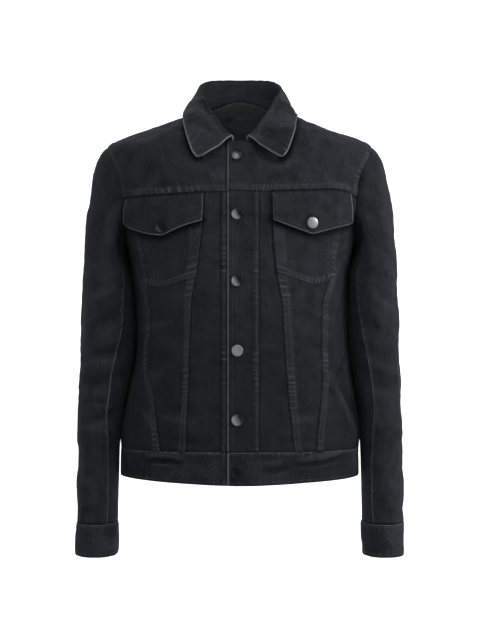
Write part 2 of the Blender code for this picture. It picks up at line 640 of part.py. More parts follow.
def make_flap(side, word):
    """Pocket flap: a pointed tongue that stands further off towards its foot."""
    flap = {name: FLAPS[name][0 if side > 0 else 1] for name in FLAPS}
    s = np.linspace(0, 1, FLAP_COLUMNS + 1)
    tip = 0.5
    top_x = flap["top_inner"] + (flap["top_outer"] - flap["top_inner"]) * s
    top_z = front_yoke_height(side, top_x) - 0.0012
    knots = np.array([0, tip, 1])
    foot_x = np.interp(s, knots, [flap["foot_inner"], flap["point"], flap["foot_outer"]])
    foot_z = np.interp(s, knots, [flap["inner_height"], flap["point_height"], flap["outer_height"]])
    foot_z -= np.where(s < tip, flap["bow_inner"], flap["bow_outer"]) * np.abs(np.sin(math.pi * s / tip))
    t = np.linspace(0, 1, FLAP_ROWS + 1)[:, None]
    places = body_place(side * ((1 - t) * top_x + t * foot_x), (1 - t) * top_z + t * foot_z)
    points = body(places[..., 0], places[..., 1])
    normal = body_normal(places[..., 0], places[..., 1])
    lift = FLAP_LIFT_TOP + (FLAP_LIFT_FOOT - FLAP_LIFT_TOP) * np.sqrt(t)
    points = points + normal * (fold_lift(points) + lift)[..., None]
    solid(f"pocket_flap_{word}", points + normal * SINGLE, -normal * SINGLE, DENIM)


# Back


def make_back():
    """Back centre, sides and yoke."""
    arm = armhole_place(TURNS)
    side_levels = np.linspace(BAND_TOP, UNDERARM, BODY_ROWS + 1)
    side_seam = np.stack([np.full_like(side_levels, math.pi / 2), side_levels], -1)
    heights = np.linspace(BODY["z_back"][1], BACK_YOKE_HEIGHT, BODY_ROWS + 1)
    seam = body_place(smooth(BACK_SEAMS["height"], BACK_SEAMS["reach"], heights), heights, -1)
    yoke_side = along(seam[-1], arm[BACK_YOKE_TURN], BACK_YOKE_SIDE_COLUMNS)
    centre_level = body_place(0.0, BACK_YOKE_HEIGHT, -1)[1]
    yoke_centre = along(seam[-1], (math.pi, centre_level), BACK_CENTRE_COLUMNS)
    # Across the back the seam stays level
    yoke_x = body(*yoke_centre.T)[1:-1, 0]
    yoke_centre[1:-1] = body_place(yoke_x, np.full_like(yoke_x, BACK_YOKE_HEIGHT), -1)
    foot_side = along(seam[0], side_seam[0], BACK_YOKE_SIDE_COLUMNS + ARM_COLUMNS)
    foot_centre = along(seam[0], (math.pi, BAND_TOP), BACK_CENTRE_COLUMNS)

    arm_run = arm[BACK_YOKE_TURN - 1 : UNDERARM_TURN - 1 : -1]
    side_grid = patch(foot_side, np.concatenate([yoke_side, arm_run]), seam, side_seam)
    for side, word in ((1, "left"), (-1, "right")):
        _, _, seam_depth = sleeve_start(side)
        points, depth = body_wall(mirrored(side_grid, side), SINGLE)
        depth[-1, BACK_YOKE_SIDE_COLUMNS:] = seam_depth[BACK_YOKE_TURN : UNDERARM_TURN - 1 : -1] * SINGLE
        solid(f"back_side_{word}", points, depth, DENIM)

    def whole(half):
        """A half from the left to the centre, carried on to the right."""
        other = half[:-1][::-1] * np.array([-1.0, 1.0]) + np.array([2 * math.pi, 0])
        return np.concatenate([half, other])

    centre_right = seam * np.array([-1.0, 1.0]) + np.array([2 * math.pi, 0])
    centre_grid = patch(whole(foot_centre), whole(yoke_centre), seam, centre_right)
    solid("back_centre", *body_wall(centre_grid, SINGLE), DENIM)

    neck_columns = BACK_CENTRE_COLUMNS + BACK_YOKE_SIDE_COLUMNS - SHOULDER_COLUMNS
    shoulder = along(arm[0], (math.pi / 2, NECK), SHOULDER_COLUMNS)
    neck = along((math.pi / 2, NECK), (math.pi, NECK), neck_columns)
    yoke_top = whole(np.concatenate([shoulder, neck[1:]]))
    yoke_foot = whole(np.concatenate([yoke_side[::-1], yoke_centre[1:]]))
    arm_left = arm[BACK_YOKE_TURN:]
    arm_right = arm_left * np.array([-1.0, 1.0]) + np.array([2 * math.pi, 0])
    points, depth = body_wall(patch(yoke_foot, yoke_top, arm_left, arm_right), SINGLE)
    depth[:, 0] = sleeve_start(1)[2][BACK_YOKE_TURN:] * SINGLE
    depth[:, -1] = sleeve_start(-1)[2][BACK_YOKE_TURN:] * SINGLE
    solid("back_yoke", points, depth, DENIM)


# Waistband, collar and buttons


def make_waistband():
    """One strip round the hem; its left end laps over its right end at the centre."""
    start = math.atan2(-LAP, BODY["front"][0])
    angles = np.linspace(start, 2 * math.pi - start, WAISTBAND_COLUMNS + 1)
    levels = np.linspace(0, 1, WAISTBAND_ROWS + 1)[:, None]
    points = body(angles[None], levels)
    normal = body_normal(angles[None], levels)
    over = front_lap(points[..., 0], 1) + BAND_OVER
    under = front_lap(points[..., 0], -1) - BAND_UNDER
    plain = ease((np.abs(np.sin(angles / 2)) - 0.10) / 0.10)
    lift = np.where(angles < math.pi, over, under) * (1 - plain) + BAND_PROUD * plain
    points = points + normal * lift[..., None]
    solid("waistband", points, -normal * DOUBLE, DENIM_INSIDE)


def collar_lines(side):
    """The fold line and the leaf's edge at each station, from the front end to the back centre."""
    degrees = COLLAR["degrees"]
    t = np.linspace(0, 1, COLLAR_STATIONS + 1)
    at = degrees[0] + (degrees[-1] - degrees[0]) * (0.35 * t + 0.65 * t**1.6)
    radius = smooth(degrees, COLLAR["fold_radius"], at)
    turn = np.radians(at)
    fold_height = smooth(degrees, COLLAR["fold_height"], at)
    fold = np.stack([radius * np.sin(turn), -radius * np.cos(turn), fold_height], -1)
    edge = np.stack([smooth(degrees, COLLAR[name], at) for name in ("edge_x", "edge_y", "edge_z")], -1)
    neck_side = body(turn, np.full_like(turn, NECK))
    below = body(turn, np.full_like(turn, NECK - 0.05))
    onward = unit(neck_side - below)
    flip = np.array([side, 1, 1])
    return neck_side * flip, onward * flip, fold * flip, edge * flip


def make_collar():
    """A doubled strip: the stand rises from the neck, folds over and falls as the leaf."""
    sides = []
    for side in (1, -1):
        neck, onward, fold, edge = collar_lines(side)
        away = unit(np.array([1, 1, 0]) * (edge - fold))
        rise = unit(fold - neck)
        lean = np.linalg.norm(np.cross(rise, onward), axis=-1, keepdims=True)
        seat = neck + onward * (SEAT_GAP + DOUBLE / 2 * lean)
        height = np.linalg.norm(fold - seat, axis=-1, keepdims=True)
        shoulder = fold - unit(fold - seat) * np.minimum(ROLL, height * 0.4)
        fall = fold + away * ROLL * 1.1 - np.array([0, 0, ROLL * 0.9]) * np.minimum(height / (4 * ROLL), 1)
        backwards = unit(np.gradient((fall + edge) / 2, axis=0))
        outwards = unit(np.cross(edge - fall, backwards))
        outwards *= np.sign(np.sum(outwards * away, -1, keepdims=True))
        forwards = unit(np.cross(outwards, edge - fall))
        forwards *= -np.sign(np.sum(forwards * backwards, -1, keepdims=True))
        near_end = np.clip(1 - np.arange(len(fall)) / 4, 0, 1)[:, None] ** 1.5
        bow = outwards * LEAF_BULGE + forwards * END_BOW * near_end
        line = [seat, seat + (shoulder - seat) * 0.5, shoulder, fold + away * ROLL * 0.36, fall]
        for share in (0.33, 0.67, 1.0):
            line.append(fall + (edge - fall) * share + bow * math.sin(math.pi * share))
        sides.append(np.array(line))
    grid = np.concatenate([sides[0], sides[1][:, :-1][:, ::-1]], 1)
    run = np.gradient(grid, axis=1)
    fall = np.gradient(grid, axis=0)
    normal = unit(np.cross(run, fall))
    solid("collar", grid + normal * DOUBLE / 2, -normal * DOUBLE, DENIM_INSIDE)


def make_button(name, x, height, stand_off):
    """A shank button turned about the cloth's outward direction."""
    place = body_place(x, height)
    centre = body(*place)
    normal = body_normal(*place)
    across = unit(np.cross([0, 0, 1.0], normal))
    up = np.cross(normal, across)
    turns = np.linspace(0, 2 * math.pi, BUTTON_SIDES, endpoint=False)
    around = np.cos(turns)[:, None] * across + np.sin(turns)[:, None] * up
    rings = [
        centre + normal * (stand_off + GAP + rise) + around * radius
        for radius, rise in zip(BUTTON_PROFILE["radius"], BUTTON_PROFILE["height"])
    ]
    points = np.concatenate(rings)
    at = np.arange(len(points)).reshape(len(rings), BUTTON_SIDES)
    faces = [tuple(at[0][::-1]), tuple(at[-1])]
    for low, high in zip(at[:-1], at[1:]):
        for k in range(BUTTON_SIDES):
            following = (k + 1) % BUTTON_SIDES
            faces.append((low[k], low[following], high[following], high[k]))
    mesh_object(name, points, faces, METAL)


def make_buttons():
    for number, height in enumerate(BUTTON_HEIGHTS, 1):
        on_band = BAND_OVER if number == len(BUTTON_HEIGHTS) else 0.0
        make_button(f"front_button_{number}", BUTTON_X, height, OVER + on_band)
    for side, reach, height in zip(*FLAP_BUTTONS.values()):
        word = "left" if side > 0 else "right"
        make_button(f"flap_button_{word}", side * reach, height, FLAP_LIFT_FOOT + SINGLE)


def main():
    for thing in list(bpy.data.objects):
        bpy.data.objects.remove(thing)
    for side, word in ((1, "left"), (-1, "right")):
        make_front(side, word)
        make_flap(side, word)
        make_sleeve(side, word)
    make_back()
    make_waistband()
    make_collar()
    make_buttons()


main()
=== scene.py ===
import math

import bpy
import numpy as np
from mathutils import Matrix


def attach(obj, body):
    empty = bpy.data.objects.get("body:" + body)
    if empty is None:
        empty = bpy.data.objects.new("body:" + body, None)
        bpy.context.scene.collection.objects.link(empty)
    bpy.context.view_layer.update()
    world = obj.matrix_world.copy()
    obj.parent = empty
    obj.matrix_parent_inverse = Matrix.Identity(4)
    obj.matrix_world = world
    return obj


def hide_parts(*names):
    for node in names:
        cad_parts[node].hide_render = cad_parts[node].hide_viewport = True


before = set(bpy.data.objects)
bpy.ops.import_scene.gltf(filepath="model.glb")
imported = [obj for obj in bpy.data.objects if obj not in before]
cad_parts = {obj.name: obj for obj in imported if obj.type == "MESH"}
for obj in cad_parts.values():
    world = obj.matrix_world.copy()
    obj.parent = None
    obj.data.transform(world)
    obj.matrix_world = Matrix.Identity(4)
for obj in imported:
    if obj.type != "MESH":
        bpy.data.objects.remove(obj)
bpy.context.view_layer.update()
print("frame loaded:", len(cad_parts), "solids")

# Everything is in metres: +Z up, the front faces -Y, the wearer's left is +X, sides are +1 left and -1 right
sides = {"left": 1, "right": -1}

cloth = {
    "single": 0.0014,  # thickness of one layer with its turned edges
    "double": 0.0022,
    "step": 0.0032,  # spacing of the points
    "tuck": 0.0016,  # how far a lower panel runs under the seam
    "tuckDrop": 0.0006,
    "fellLift": 0.0010,  # how proud a felled seam stands
    "fellWidth": 0.0095,
    "edgeRound": 0.0005,
}


# ---- general helpers


def table(columns, *rows):
    values = np.array(rows, float)
    return {name: values[:, i] for i, name in enumerate(columns.split())}


def smooth(keys, values, at):
    # a curve through the values, with no corners
    slopes = np.gradient(values, keys)
    at = np.clip(at, keys[0], keys[-1])
    row = np.clip(np.searchsorted(keys, at) - 1, 0, len(keys) - 2)
    span = keys[row + 1] - keys[row]
    t = (at - keys[row]) / span
    start = (2 * t**3 - 3 * t**2 + 1) * values[row] + (t**3 - 2 * t**2 + t) * span * slopes[row]
    return start + (3 * t**2 - 2 * t**3) * values[row + 1] + (t**3 - t**2) * span * slopes[row + 1]


def unit(vectors):
    return vectors / np.maximum(np.linalg.norm(vectors, axis=-1, keepdims=True), 1e-12)


def ease(t):
    t = np.clip(t, 0, 1)
    return t * t * (3 - 2 * t)


def bump(t):
    # 1 at 0, falling away softly on both sides
    return np.exp(-(t**2))


def along(first, last, count):
    t = np.linspace(0, 1, count + 1)[:, None]
    return (1 - t) * np.asarray(first, float) + t * np.asarray(last, float)


def runLengths(points):
    # distances along lines of points, from their starts
    steps = np.linalg.norm(np.diff(points, axis=0), axis=-1)
    return np.concatenate([np.zeros_like(steps[:1]), np.cumsum(steps, 0)])


def readLine(at, keys, points):
    return np.stack([np.interp(at, keys, points[:, i]) for i in range(points.shape[1])], -1)


def tubeFaces(rows, count):
    # quads between rings of points
    at = np.arange(rows * count).reshape(rows, count)
    following = np.roll(at, -1, 1)
    return np.stack([at[:-1], following[:-1], following[1:], at[1:]], -1).reshape(-1, 4)


def addObject(name, data):
    thing = bpy.data.objects.new(name, data)
    bpy.context.scene.collection.objects.link(thing)
    return thing


# ---- the body of the jacket, read at (angle, level)

body = table(
    "level halfWidth front back squareness zSide zFront zBack middle",
    (0, 0.1840, 0.1120, 0.0990, 2.5, -0.5525, -0.5600, -0.5560, 0.0000),
    (1, 0.1835, 0.1140, 0.1000, 2.5, -0.5110, -0.5110, -0.5110, 0.0000),
    (2, 0.1830, 0.1165, 0.1020, 2.5, -0.4800, -0.4800, -0.4800, 0.0005),
    (3, 0.1720, 0.1150, 0.0990, 2.5, -0.4200, -0.4200, -0.4200, 0.0025),
    (4, 0.1625, 0.1130, 0.0950, 2.5, -0.3600, -0.3600, -0.3600, 0.0035),
    (5, 0.1620, 0.1130, 0.0960, 2.5, -0.3000, -0.3000, -0.3000, 0.0020),
    (6, 0.1660, 0.1140, 0.1000, 2.5, -0.2450, -0.2450, -0.2450, 0.0000),
    (7, 0.1770, 0.1150, 0.1040, 2.4, -0.1950, -0.1980, -0.1950, 0.0000),
    (8, 0.1950, 0.1150, 0.1070, 2.4, -0.1400, -0.1620, -0.1450, 0.0000),
    (9, 0.2060, 0.1130, 0.1060, 2.4, -0.0880, -0.1300, -0.0980, 0.0000),
    (10, 0.2030, 0.1080, 0.0990, 2.3, -0.0460, -0.1010, -0.0530, 0.0000),
    (11, 0.1430, 0.0990, 0.0820, 2.1, -0.0190, -0.0730, -0.0070, 0.0000),
    (12, 0.0800, 0.0880, 0.0600, 1.9, 0.0055, -0.0460, 0.0355, 0.0000),
)
bandTop, underarm, neckLevel = 1.0, 7.0, 12.0
bandTopHeight = -0.511


def bodyPoint(angle, level):
    angle, level = np.broadcast_arrays(np.asarray(angle, float), np.asarray(level, float))
    ring = {name: smooth(body["level"], values, level) for name, values in body.items()}
    sine, cosine = np.sin(angle), np.cos(angle)
    depth = np.where(cosine > 0, ring["front"], ring["back"])
    power = ring["squareness"]
    reach = (np.abs(sine / ring["halfWidth"]) ** power + np.abs(cosine / depth) ** power) ** (-1 / power)
    end = np.where(cosine > 0, ring["zFront"], ring["zBack"])
    height = ring["zSide"] + (end - ring["zSide"]) * cosine**2
    return np.stack([ring["middle"] + reach * sine, -reach * cosine, height], -1)


def bodyAt(places):
    return bodyPoint(places[..., 0], places[..., 1])


def bodyNormal(angle, level):
    step = 1e-4
    across = bodyPoint(angle + step, level) - bodyPoint(angle - step, level)
    up = bodyPoint(angle, level + step) - bodyPoint(angle, level - step)
    return unit(np.cross(across, up))


def bodyPlace(x, height, facing=1):
    # the (angle, level) seen at x and a height, from the front (1) or the back (-1)
    x, height = np.broadcast_arrays(np.asarray(x, float), np.asarray(height, float))
    level = np.interp(height, body["zFront"] if facing > 0 else body["zBack"], body["level"])
    angle = np.arctan2(x, 0.1 * facing)
    step = 1e-4
    for _ in range(30):
        here = bodyPoint(angle, level)
        byAngle = (bodyPoint(angle + step, level) - here)[..., [0, 2]] / step
        byLevel = (bodyPoint(angle, level + step) - here)[..., [0, 2]] / step
        miss = np.stack([x, height], -1) - here[..., [0, 2]]
        area = byAngle[..., 0] * byLevel[..., 1] - byAngle[..., 1] * byLevel[..., 0]
        turn = (miss[..., 0] * byLevel[..., 1] - miss[..., 1] * byLevel[..., 0]) / area
        rise = (byAngle[..., 0] * miss[..., 1] - byAngle[..., 1] * miss[..., 0]) / area
        angle = angle + np.clip(turn, -0.2, 0.2)
        level = np.clip(level + np.clip(rise, -0.5, 0.5), 0, 12 - 2 * step)
    return np.stack([angle, level], -1)


# ---- folds: soft ridges (lift above 0) and troughs along lines on the cloth

bigFolds = table(
    "x1 y1 z1 x2 y2 z2 lift width",
    (0.1350, -0.0840, -0.4060, 0.1745, -0.0560, -0.4840, 0.0060, 0.008),
    (0.1560, -0.0680, -0.4050, 0.1760, -0.0400, -0.4620, -0.0070, 0.011),
    (0.1500, -0.0740, -0.3800, 0.1400, -0.0800, -0.4020, -0.0045, 0.007),
    (-0.1500, -0.0650, -0.4300, -0.1420, -0.0780, -0.4950, -0.0042, 0.015),
    (-0.1680, -0.0500, -0.4150, -0.1740, -0.0450, -0.4700, 0.0030, 0.010),
    (-0.1250, -0.0950, -0.4900, -0.0600, -0.1120, -0.4960, -0.0022, 0.010),
    (0.0700, 0.0930, -0.4700, 0.1450, 0.0650, -0.4550, 0.0035, 0.014),
    (-0.1450, 0.0650, -0.4600, -0.0500, 0.0960, -0.4720, 0.0035, 0.014),
    (-0.1300, 0.0800, -0.4000, -0.0400, 0.0940, -0.4150, -0.0025, 0.014),
    (0.2000, -0.0580, -0.3800, 0.2450, -0.0250, -0.3720, -0.0025, 0.009),
    (-0.2450, -0.0250, -0.3860, -0.2000, -0.0580, -0.3940, -0.0025, 0.009),
    (0.2100, -0.0570, -0.5500, 0.2480, -0.0300, -0.5580, 0.0020, 0.010),
)


def bigFoldLift(points):
    lift = np.zeros(points.shape[:-1])
    for i in range(len(bigFolds["lift"])):
        start = np.array([bigFolds[name][i] for name in ("x1", "y1", "z1")])
        end = np.array([bigFolds[name][i] for name in ("x2", "y2", "z2")])
        run = end - start
        t = np.clip((points - start) @ run / (run @ run), 0, 1)
        away = np.linalg.norm(points - start - t[..., None] * run, axis=-1)
        taper = 0.35 + 0.65 * np.sin(math.pi * t)
        lift += bigFolds["lift"][i] * taper * bump(away / bigFolds["width"][i])
    return lift


# Small creases of the body as seen from the front (1) or the back (-1)
bodyCreases = table(
    "facing x1 z1 x2 z2 bow lift width",
    # chest and armholes
    (1, 0.166, -0.165, 0.120, -0.118, 0.006, 0.0011, 0.007),
    (1, 0.160, -0.128, 0.118, -0.080, 0.005, 0.0012, 0.009),
    (1, -0.170, -0.140, -0.118, -0.090, -0.006, 0.0012, 0.009),
    (1, -0.176, -0.170, -0.130, -0.112, -0.004, -0.0010, 0.007),
    (1, 0.030, -0.098, 0.090, -0.078, 0.003, 0.0007, 0.007),
    (1, -0.080, -0.085, -0.030, -0.104, 0.003, 0.0007, 0.007),
    # under the arms
    (1, 0.160, -0.215, 0.132, -0.290, -0.004, 0.0014, 0.007),
    (1, 0.165, -0.240, 0.146, -0.310, 0.003, -0.0012, 0.006),
    (1, -0.165, -0.215, -0.147, -0.295, 0.004, 0.0013, 0.007),
    (1, -0.160, -0.255, -0.150, -0.330, -0.003, -0.0012, 0.007),
    # waist
    (1, 0.100, -0.300, 0.148, -0.322, 0.003, 0.0011, 0.007),
    (1, 0.088, -0.345, 0.145, -0.352, -0.003, -0.0012, 0.008),
    (1, 0.108, -0.398, 0.138, -0.365, 0.003, 0.0010, 0.007),
    (1, -0.150, -0.330, -0.096, -0.318, 0.003, 0.0010, 0.007),
    (1, -0.147, -0.372, -0.090, -0.362, -0.004, -0.0013, 0.008),
    (1, -0.150, -0.412, -0.105, -0.392, 0.004, 0.0011, 0.008),
    (1, 0.040, -0.330, 0.066, -0.348, 0.002, 0.0007, 0.006),
    (1, -0.062, -0.352, -0.034, -0.336, 0.002, 0.0007, 0.006),
    # above the waistband
    (1, 0.060, -0.470, 0.125, -0.462, 0.004, 0.0013, 0.008),
    (1, 0.045, -0.492, 0.110, -0.488, -0.003, -0.0012, 0.007),
    (1, -0.130, -0.458, -0.060, -0.474, 0.004, 0.0013, 0.008),
    (1, -0.110, -0.486, -0.045, -0.495, -0.003, -0.0012, 0.007),
    (1, -0.160, -0.440, -0.125, -0.486, 0.003, 0.0014, 0.008),
    # across the waistband
    (1, -0.140, -0.5245, -0.086, -0.5265, 0.002, -0.0027, 0.0032),
    (1, 0.076, -0.5290, 0.156, -0.5190, -0.003, -0.0027, 0.0032),
    (1, 0.080, -0.5205, 0.156, -0.5110, -0.003, 0.0016, 0.0050),
    (1, -0.138, -0.5170, -0.080, -0.5190, 0.002, 0.0012, 0.0045),
    # beside the long fold over the wearer's left hip
    (1, 0.1630, -0.3600, 0.1455, -0.4060, 0.001, -0.0030, 0.0045),
    (1, 0.1470, -0.4040, 0.1740, -0.4680, 0.001, -0.0022, 0.0050),
    (1, 0.030, -0.5370, 0.075, -0.5300, -0.002, -0.0012, 0.0050),
    # back
    (-1, 0.150, -0.180, 0.095, -0.105, 0.006, 0.0014, 0.010),
    (-1, -0.150, -0.175, -0.100, -0.100, -0.006, 0.0014, 0.010),
    (-1, 0.156, -0.225, 0.110, -0.300, -0.006, 0.0014, 0.010),
    (-1, -0.156, -0.230, -0.112, -0.310, 0.006, 0.0013, 0.010),
    (-1, 0.030, -0.345, 0.120, -0.330, 0.006, 0.0015, 0.009),
    (-1, -0.120, -0.352, -0.020, -0.362, -0.006, -0.0014, 0.009),
    (-1, 0.050, -0.392, 0.135, -0.400, 0.005, -0.0015, 0.009),
    (-1, -0.130, -0.420, -0.045, -0.432, 0.006, 0.0015, 0.010),
    (-1, -0.040, -0.456, 0.060, -0.448, 0.006, 0.0012, 0.010),
    (-1, -0.050, -0.070, 0.050, -0.074, 0.004, 0.0010, 0.010),
)
# Creases of the sleeves: degrees round the ring (0 outer side, 90 front) and heights
sleeveCreases = table(
    "side deg1 z1 deg2 z2 lift width",
    # head of the sleeve and underarm
    (1, 60, -0.110, 95, -0.215, 0.0016, 0.010),
    (1, 95, -0.150, 140, -0.235, -0.0014, 0.008),
    (1, 250, -0.150, 215, -0.230, 0.0015, 0.010),
    (-1, 55, -0.110, 90, -0.225, 0.0016, 0.010),
    (-1, 95, -0.160, 138, -0.240, -0.0014, 0.008),
    (-1, 255, -0.140, 215, -0.235, 0.0015, 0.010),
    # upper arm
    (1, 120, -0.268, 40, -0.300, 0.0012, 0.008),
    (1, 130, -0.300, 70, -0.330, -0.0009, 0.008),
    (-1, 125, -0.262, 45, -0.286, 0.0012, 0.008),
    (-1, 130, -0.296, 60, -0.322, -0.0012, 0.008),
    (1, 330, -0.240, 300, -0.330, 0.0012, 0.011),
    (-1, 330, -0.235, 295, -0.325, 0.0012, 0.011),
    # elbow
    (1, 150, -0.352, 55, -0.362, -0.0010, 0.007),
    (1, 140, -0.372, 35, -0.392, 0.0010, 0.008),
    (1, 135, -0.402, 60, -0.414, -0.0005, 0.007),
    (1, 120, -0.428, 50, -0.430, 0.0008, 0.008),
    (-1, 150, -0.350, 60, -0.366, -0.0011, 0.007),
    (-1, 145, -0.376, 30, -0.382, 0.0011, 0.008),
    (-1, 130, -0.398, 50, -0.408, -0.0011, 0.007),
    (-1, 120, -0.430, 55, -0.424, 0.0009, 0.008),
    (1, 230, -0.360, 310, -0.380, 0.0015, 0.010),
    (1, 235, -0.395, 315, -0.405, -0.0013, 0.010),
    (-1, 230, -0.365, 305, -0.372, 0.0015, 0.010),
    (-1, 232, -0.400, 310, -0.412, -0.0013, 0.010),
    # forearm down to the cuff
    (1, 110, -0.462, 30, -0.480, 0.0007, 0.008),
    (1, 150, -0.478, 80, -0.492, -0.0004, 0.007),
    (-1, 110, -0.470, 30, -0.484, 0.0011, 0.008),
    (-1, 60, -0.4440, 106, -0.4425, 0.0012, 0.0040),
    (-1, 128, -0.384, 160, -0.402, -0.0022, 0.0150),
    (-1, 140, -0.432, 165, -0.445, 0.0016, 0.0100),
    (1, 60, -0.4860, 100, -0.4900, 0.0012, 0.0045),
    (-1, 140, -0.452, 80, -0.462, -0.0012, 0.007),
    (1, 100, -0.560, 30, -0.572, 0.0010, 0.008),
    (-1, 100, -0.566, 30, -0.556, 0.0010, 0.008),
    (1, 110, -0.600, 60, -0.612, -0.0010, 0.007),
    (-1, 110, -0.598, 50, -0.606, -0.0010, 0.007),
    (1, 300, -0.520, 250, -0.560, 0.0011, 0.010),
    (-1, 300, -0.500, 250, -0.548, 0.0011, 0.010),
    (1, 280, -0.598, 230, -0.612, 0.0011, 0.008),
    (-1, 280, -0.600, 230, -0.608, 0.0011, 0.008),
)


def creasePaths():
    # each crease as points along the cloth, with its height and width
    paths = []
    t = np.linspace(0, 1, 9)
    for facing, x1, z1, x2, z2, bow, lift, width in zip(*bodyCreases.values()):
        across = unit(np.array([x2 - x1, z2 - z1]))
        x = x1 + (x2 - x1) * t - across[1] * bow * np.sin(math.pi * t)
        z = z1 + (z2 - z1) * t + across[0] * bow * np.sin(math.pi * t)
        paths.append((bodyAt(bodyPlace(x, z, facing)), lift, width))
    for side, deg1, z1, deg2, z2, lift, width in zip(*sleeveCreases.values()):
        points = [sleeveAt(d, z, side) for d, z in zip(deg1 + (deg2 - deg1) * t, z1 + (z2 - z1) * t)]
        paths.append((np.array(points), lift, width))
    return paths


def creaseLift(points, paths):
    # distances run to the nearest stretch of each path; only near points are worked out
    flat = points.reshape(-1, 3)
    lift = np.zeros(len(flat))
    for path, height, width in paths:
        reach = 3 * width
        low, high = path.min(0) - reach, path.max(0) + reach
        near = np.flatnonzero(np.all((flat > low) & (flat < high), axis=1))
        if not len(near):
            continue
        best = np.full(len(near), 1e9)
        share = np.zeros(len(near))
        for k in range(len(path) - 1):
            run = path[k + 1] - path[k]
            t = np.clip((flat[near] - path[k]) @ run / (run @ run), 0, 1)
            away = np.linalg.norm(flat[near] - path[k] - t[:, None] * run, axis=-1)
            closer = away < best
            best[closer] = away[closer]
            share[closer] = ((k + t) / (len(path) - 1))[closer]
        taper = np.sin(math.pi * np.clip(share, 0, 1)) ** 0.8
        # a crest with a shallow dip on both sides
        crest = bump(best / width) - 0.35 * bump((best - 1.7 * width) / (0.8 * width))
        lift[near] += height * taper * crest
    return lift.reshape(points.shape[:-1])


def besideSleeve(points, first):
    # 1 between first and the sleeve's middle, measured across
    reach = np.abs(points[..., 0])
    return ease((reach - first) / 0.010) * ease((0.206 - reach) / 0.014)


def sideContact(points):
    # 1 where a sleeve and the side of the body face each other closely
    depth, height = np.abs(points[..., 1]), points[..., 2]
    return besideSleeve(points, 0.148) * ease((0.060 - depth) / 0.030) * ease((-0.245 - height) / 0.02)


# how far the body swells towards the sleeve, just ahead of its side seam, by height
sideSwell = table(
    "height left right",
    (-0.5200, 0.0006, 0.0006),
    (-0.4950, 0.0019, 0.0019),
    (-0.4200, 0.0018, 0.0018),
    (-0.3600, 0.0016, 0.0017),
    (-0.3000, 0.0016, 0.0016),
    (-0.2680, 0.0019, 0.0019),
    (-0.2450, 0.0000, 0.0000),
)


def sideLift(points):
    left, right = (np.interp(points[..., 2], sideSwell["height"], sideSwell[word]) for word in sides)
    ahead = bump((points[..., 1] + 0.021) / 0.014)
    return np.where(points[..., 0] > 0, left, right) * besideSleeve(points, 0.145) * ahead


buttonRow = -0.0045
# waves of worn cloth: how many, the shortest and longest, and how high for their length
ripples = {"coarse": (16, 0.028, 0.085, 0.0064), "fine": (18, 0.013, 0.028, 0.0052)}
rippleTop = 0.0013
rippleWaves = []
rippleRandom = np.random.default_rng(12)
for count, shortest, longest, height in ripples.values():
    for _ in range(count):
        length = rippleRandom.uniform(shortest, longest)
        heading = unit(rippleRandom.normal(size=3) * np.array([0.8, 0.8, 1.2]))
        rippleWaves.append((heading * 2 * math.pi / length, rippleRandom.uniform(0, 6.28), height * length))


def rippleLift(points):
    # the slight unevenness of worn cloth, less where a button sits
    total = np.zeros(points.shape[:-1])
    for heading, phase, height in rippleWaves:
        total += height * np.sin(points @ heading + phase)
    calm = ease(np.abs(points[..., 0] - buttonRow) / 0.030)
    return np.clip(total, -rippleTop, rippleTop) * (0.30 + 0.70 * np.where(points[..., 1] < 0, calm, 1))


# ---- walls of cloth


def cuts(length, middle, first, last):
    # distances across a panel, one row for each length: close ones by a felled edge, even ones between
    length = np.asarray(length, float)[:, None]
    zero = np.zeros_like(length)
    low = first[:, -1:] if first.size else zero
    high = length - (last[:, -1:] if last.size else zero)
    parts = [low + (high - low) * np.linspace(0, 1, middle + 1)]
    if first.size:
        parts = [zero, first[:, :-1]] + parts
    if last.size:
        parts += [length - last[:, :-1][:, ::-1], length]
    return np.concatenate(parts, 1)


def fellLines(width):
    # where a felled seam's profile turns, from its edge inwards
    lead = np.broadcast_to(np.array([0.0005, 0.0012, 0.0021, 0.0034]), (len(width), 4))
    tail = width[:, None] + np.array([-0.0028, -0.0016, -0.0006, 0.0006, 0.0020, 0.0042])
    return np.concatenate([lead, tail], 1)


def readEdge(points, at):
    return readLine(at, np.linspace(0, 1, len(points)), points)


def patchAt(edges, s, t):
    bottom, top, start, end = edges
    across, up = s[..., None], t[..., None]
    ruled = (1 - up) * readEdge(bottom, s) + up * readEdge(top, s)
    ruled = ruled + (1 - across) * readEdge(start, t) + across * readEdge(end, t)
    low = (1 - across) * bottom[0] + across * bottom[-1]
    high = (1 - across) * top[0] + across * top[-1]
    return ruled - (1 - up) * low - up * high


def arcLengths(points, axis):
    return np.linalg.norm(np.diff(points, axis=axis), axis=-1).sum(axis)


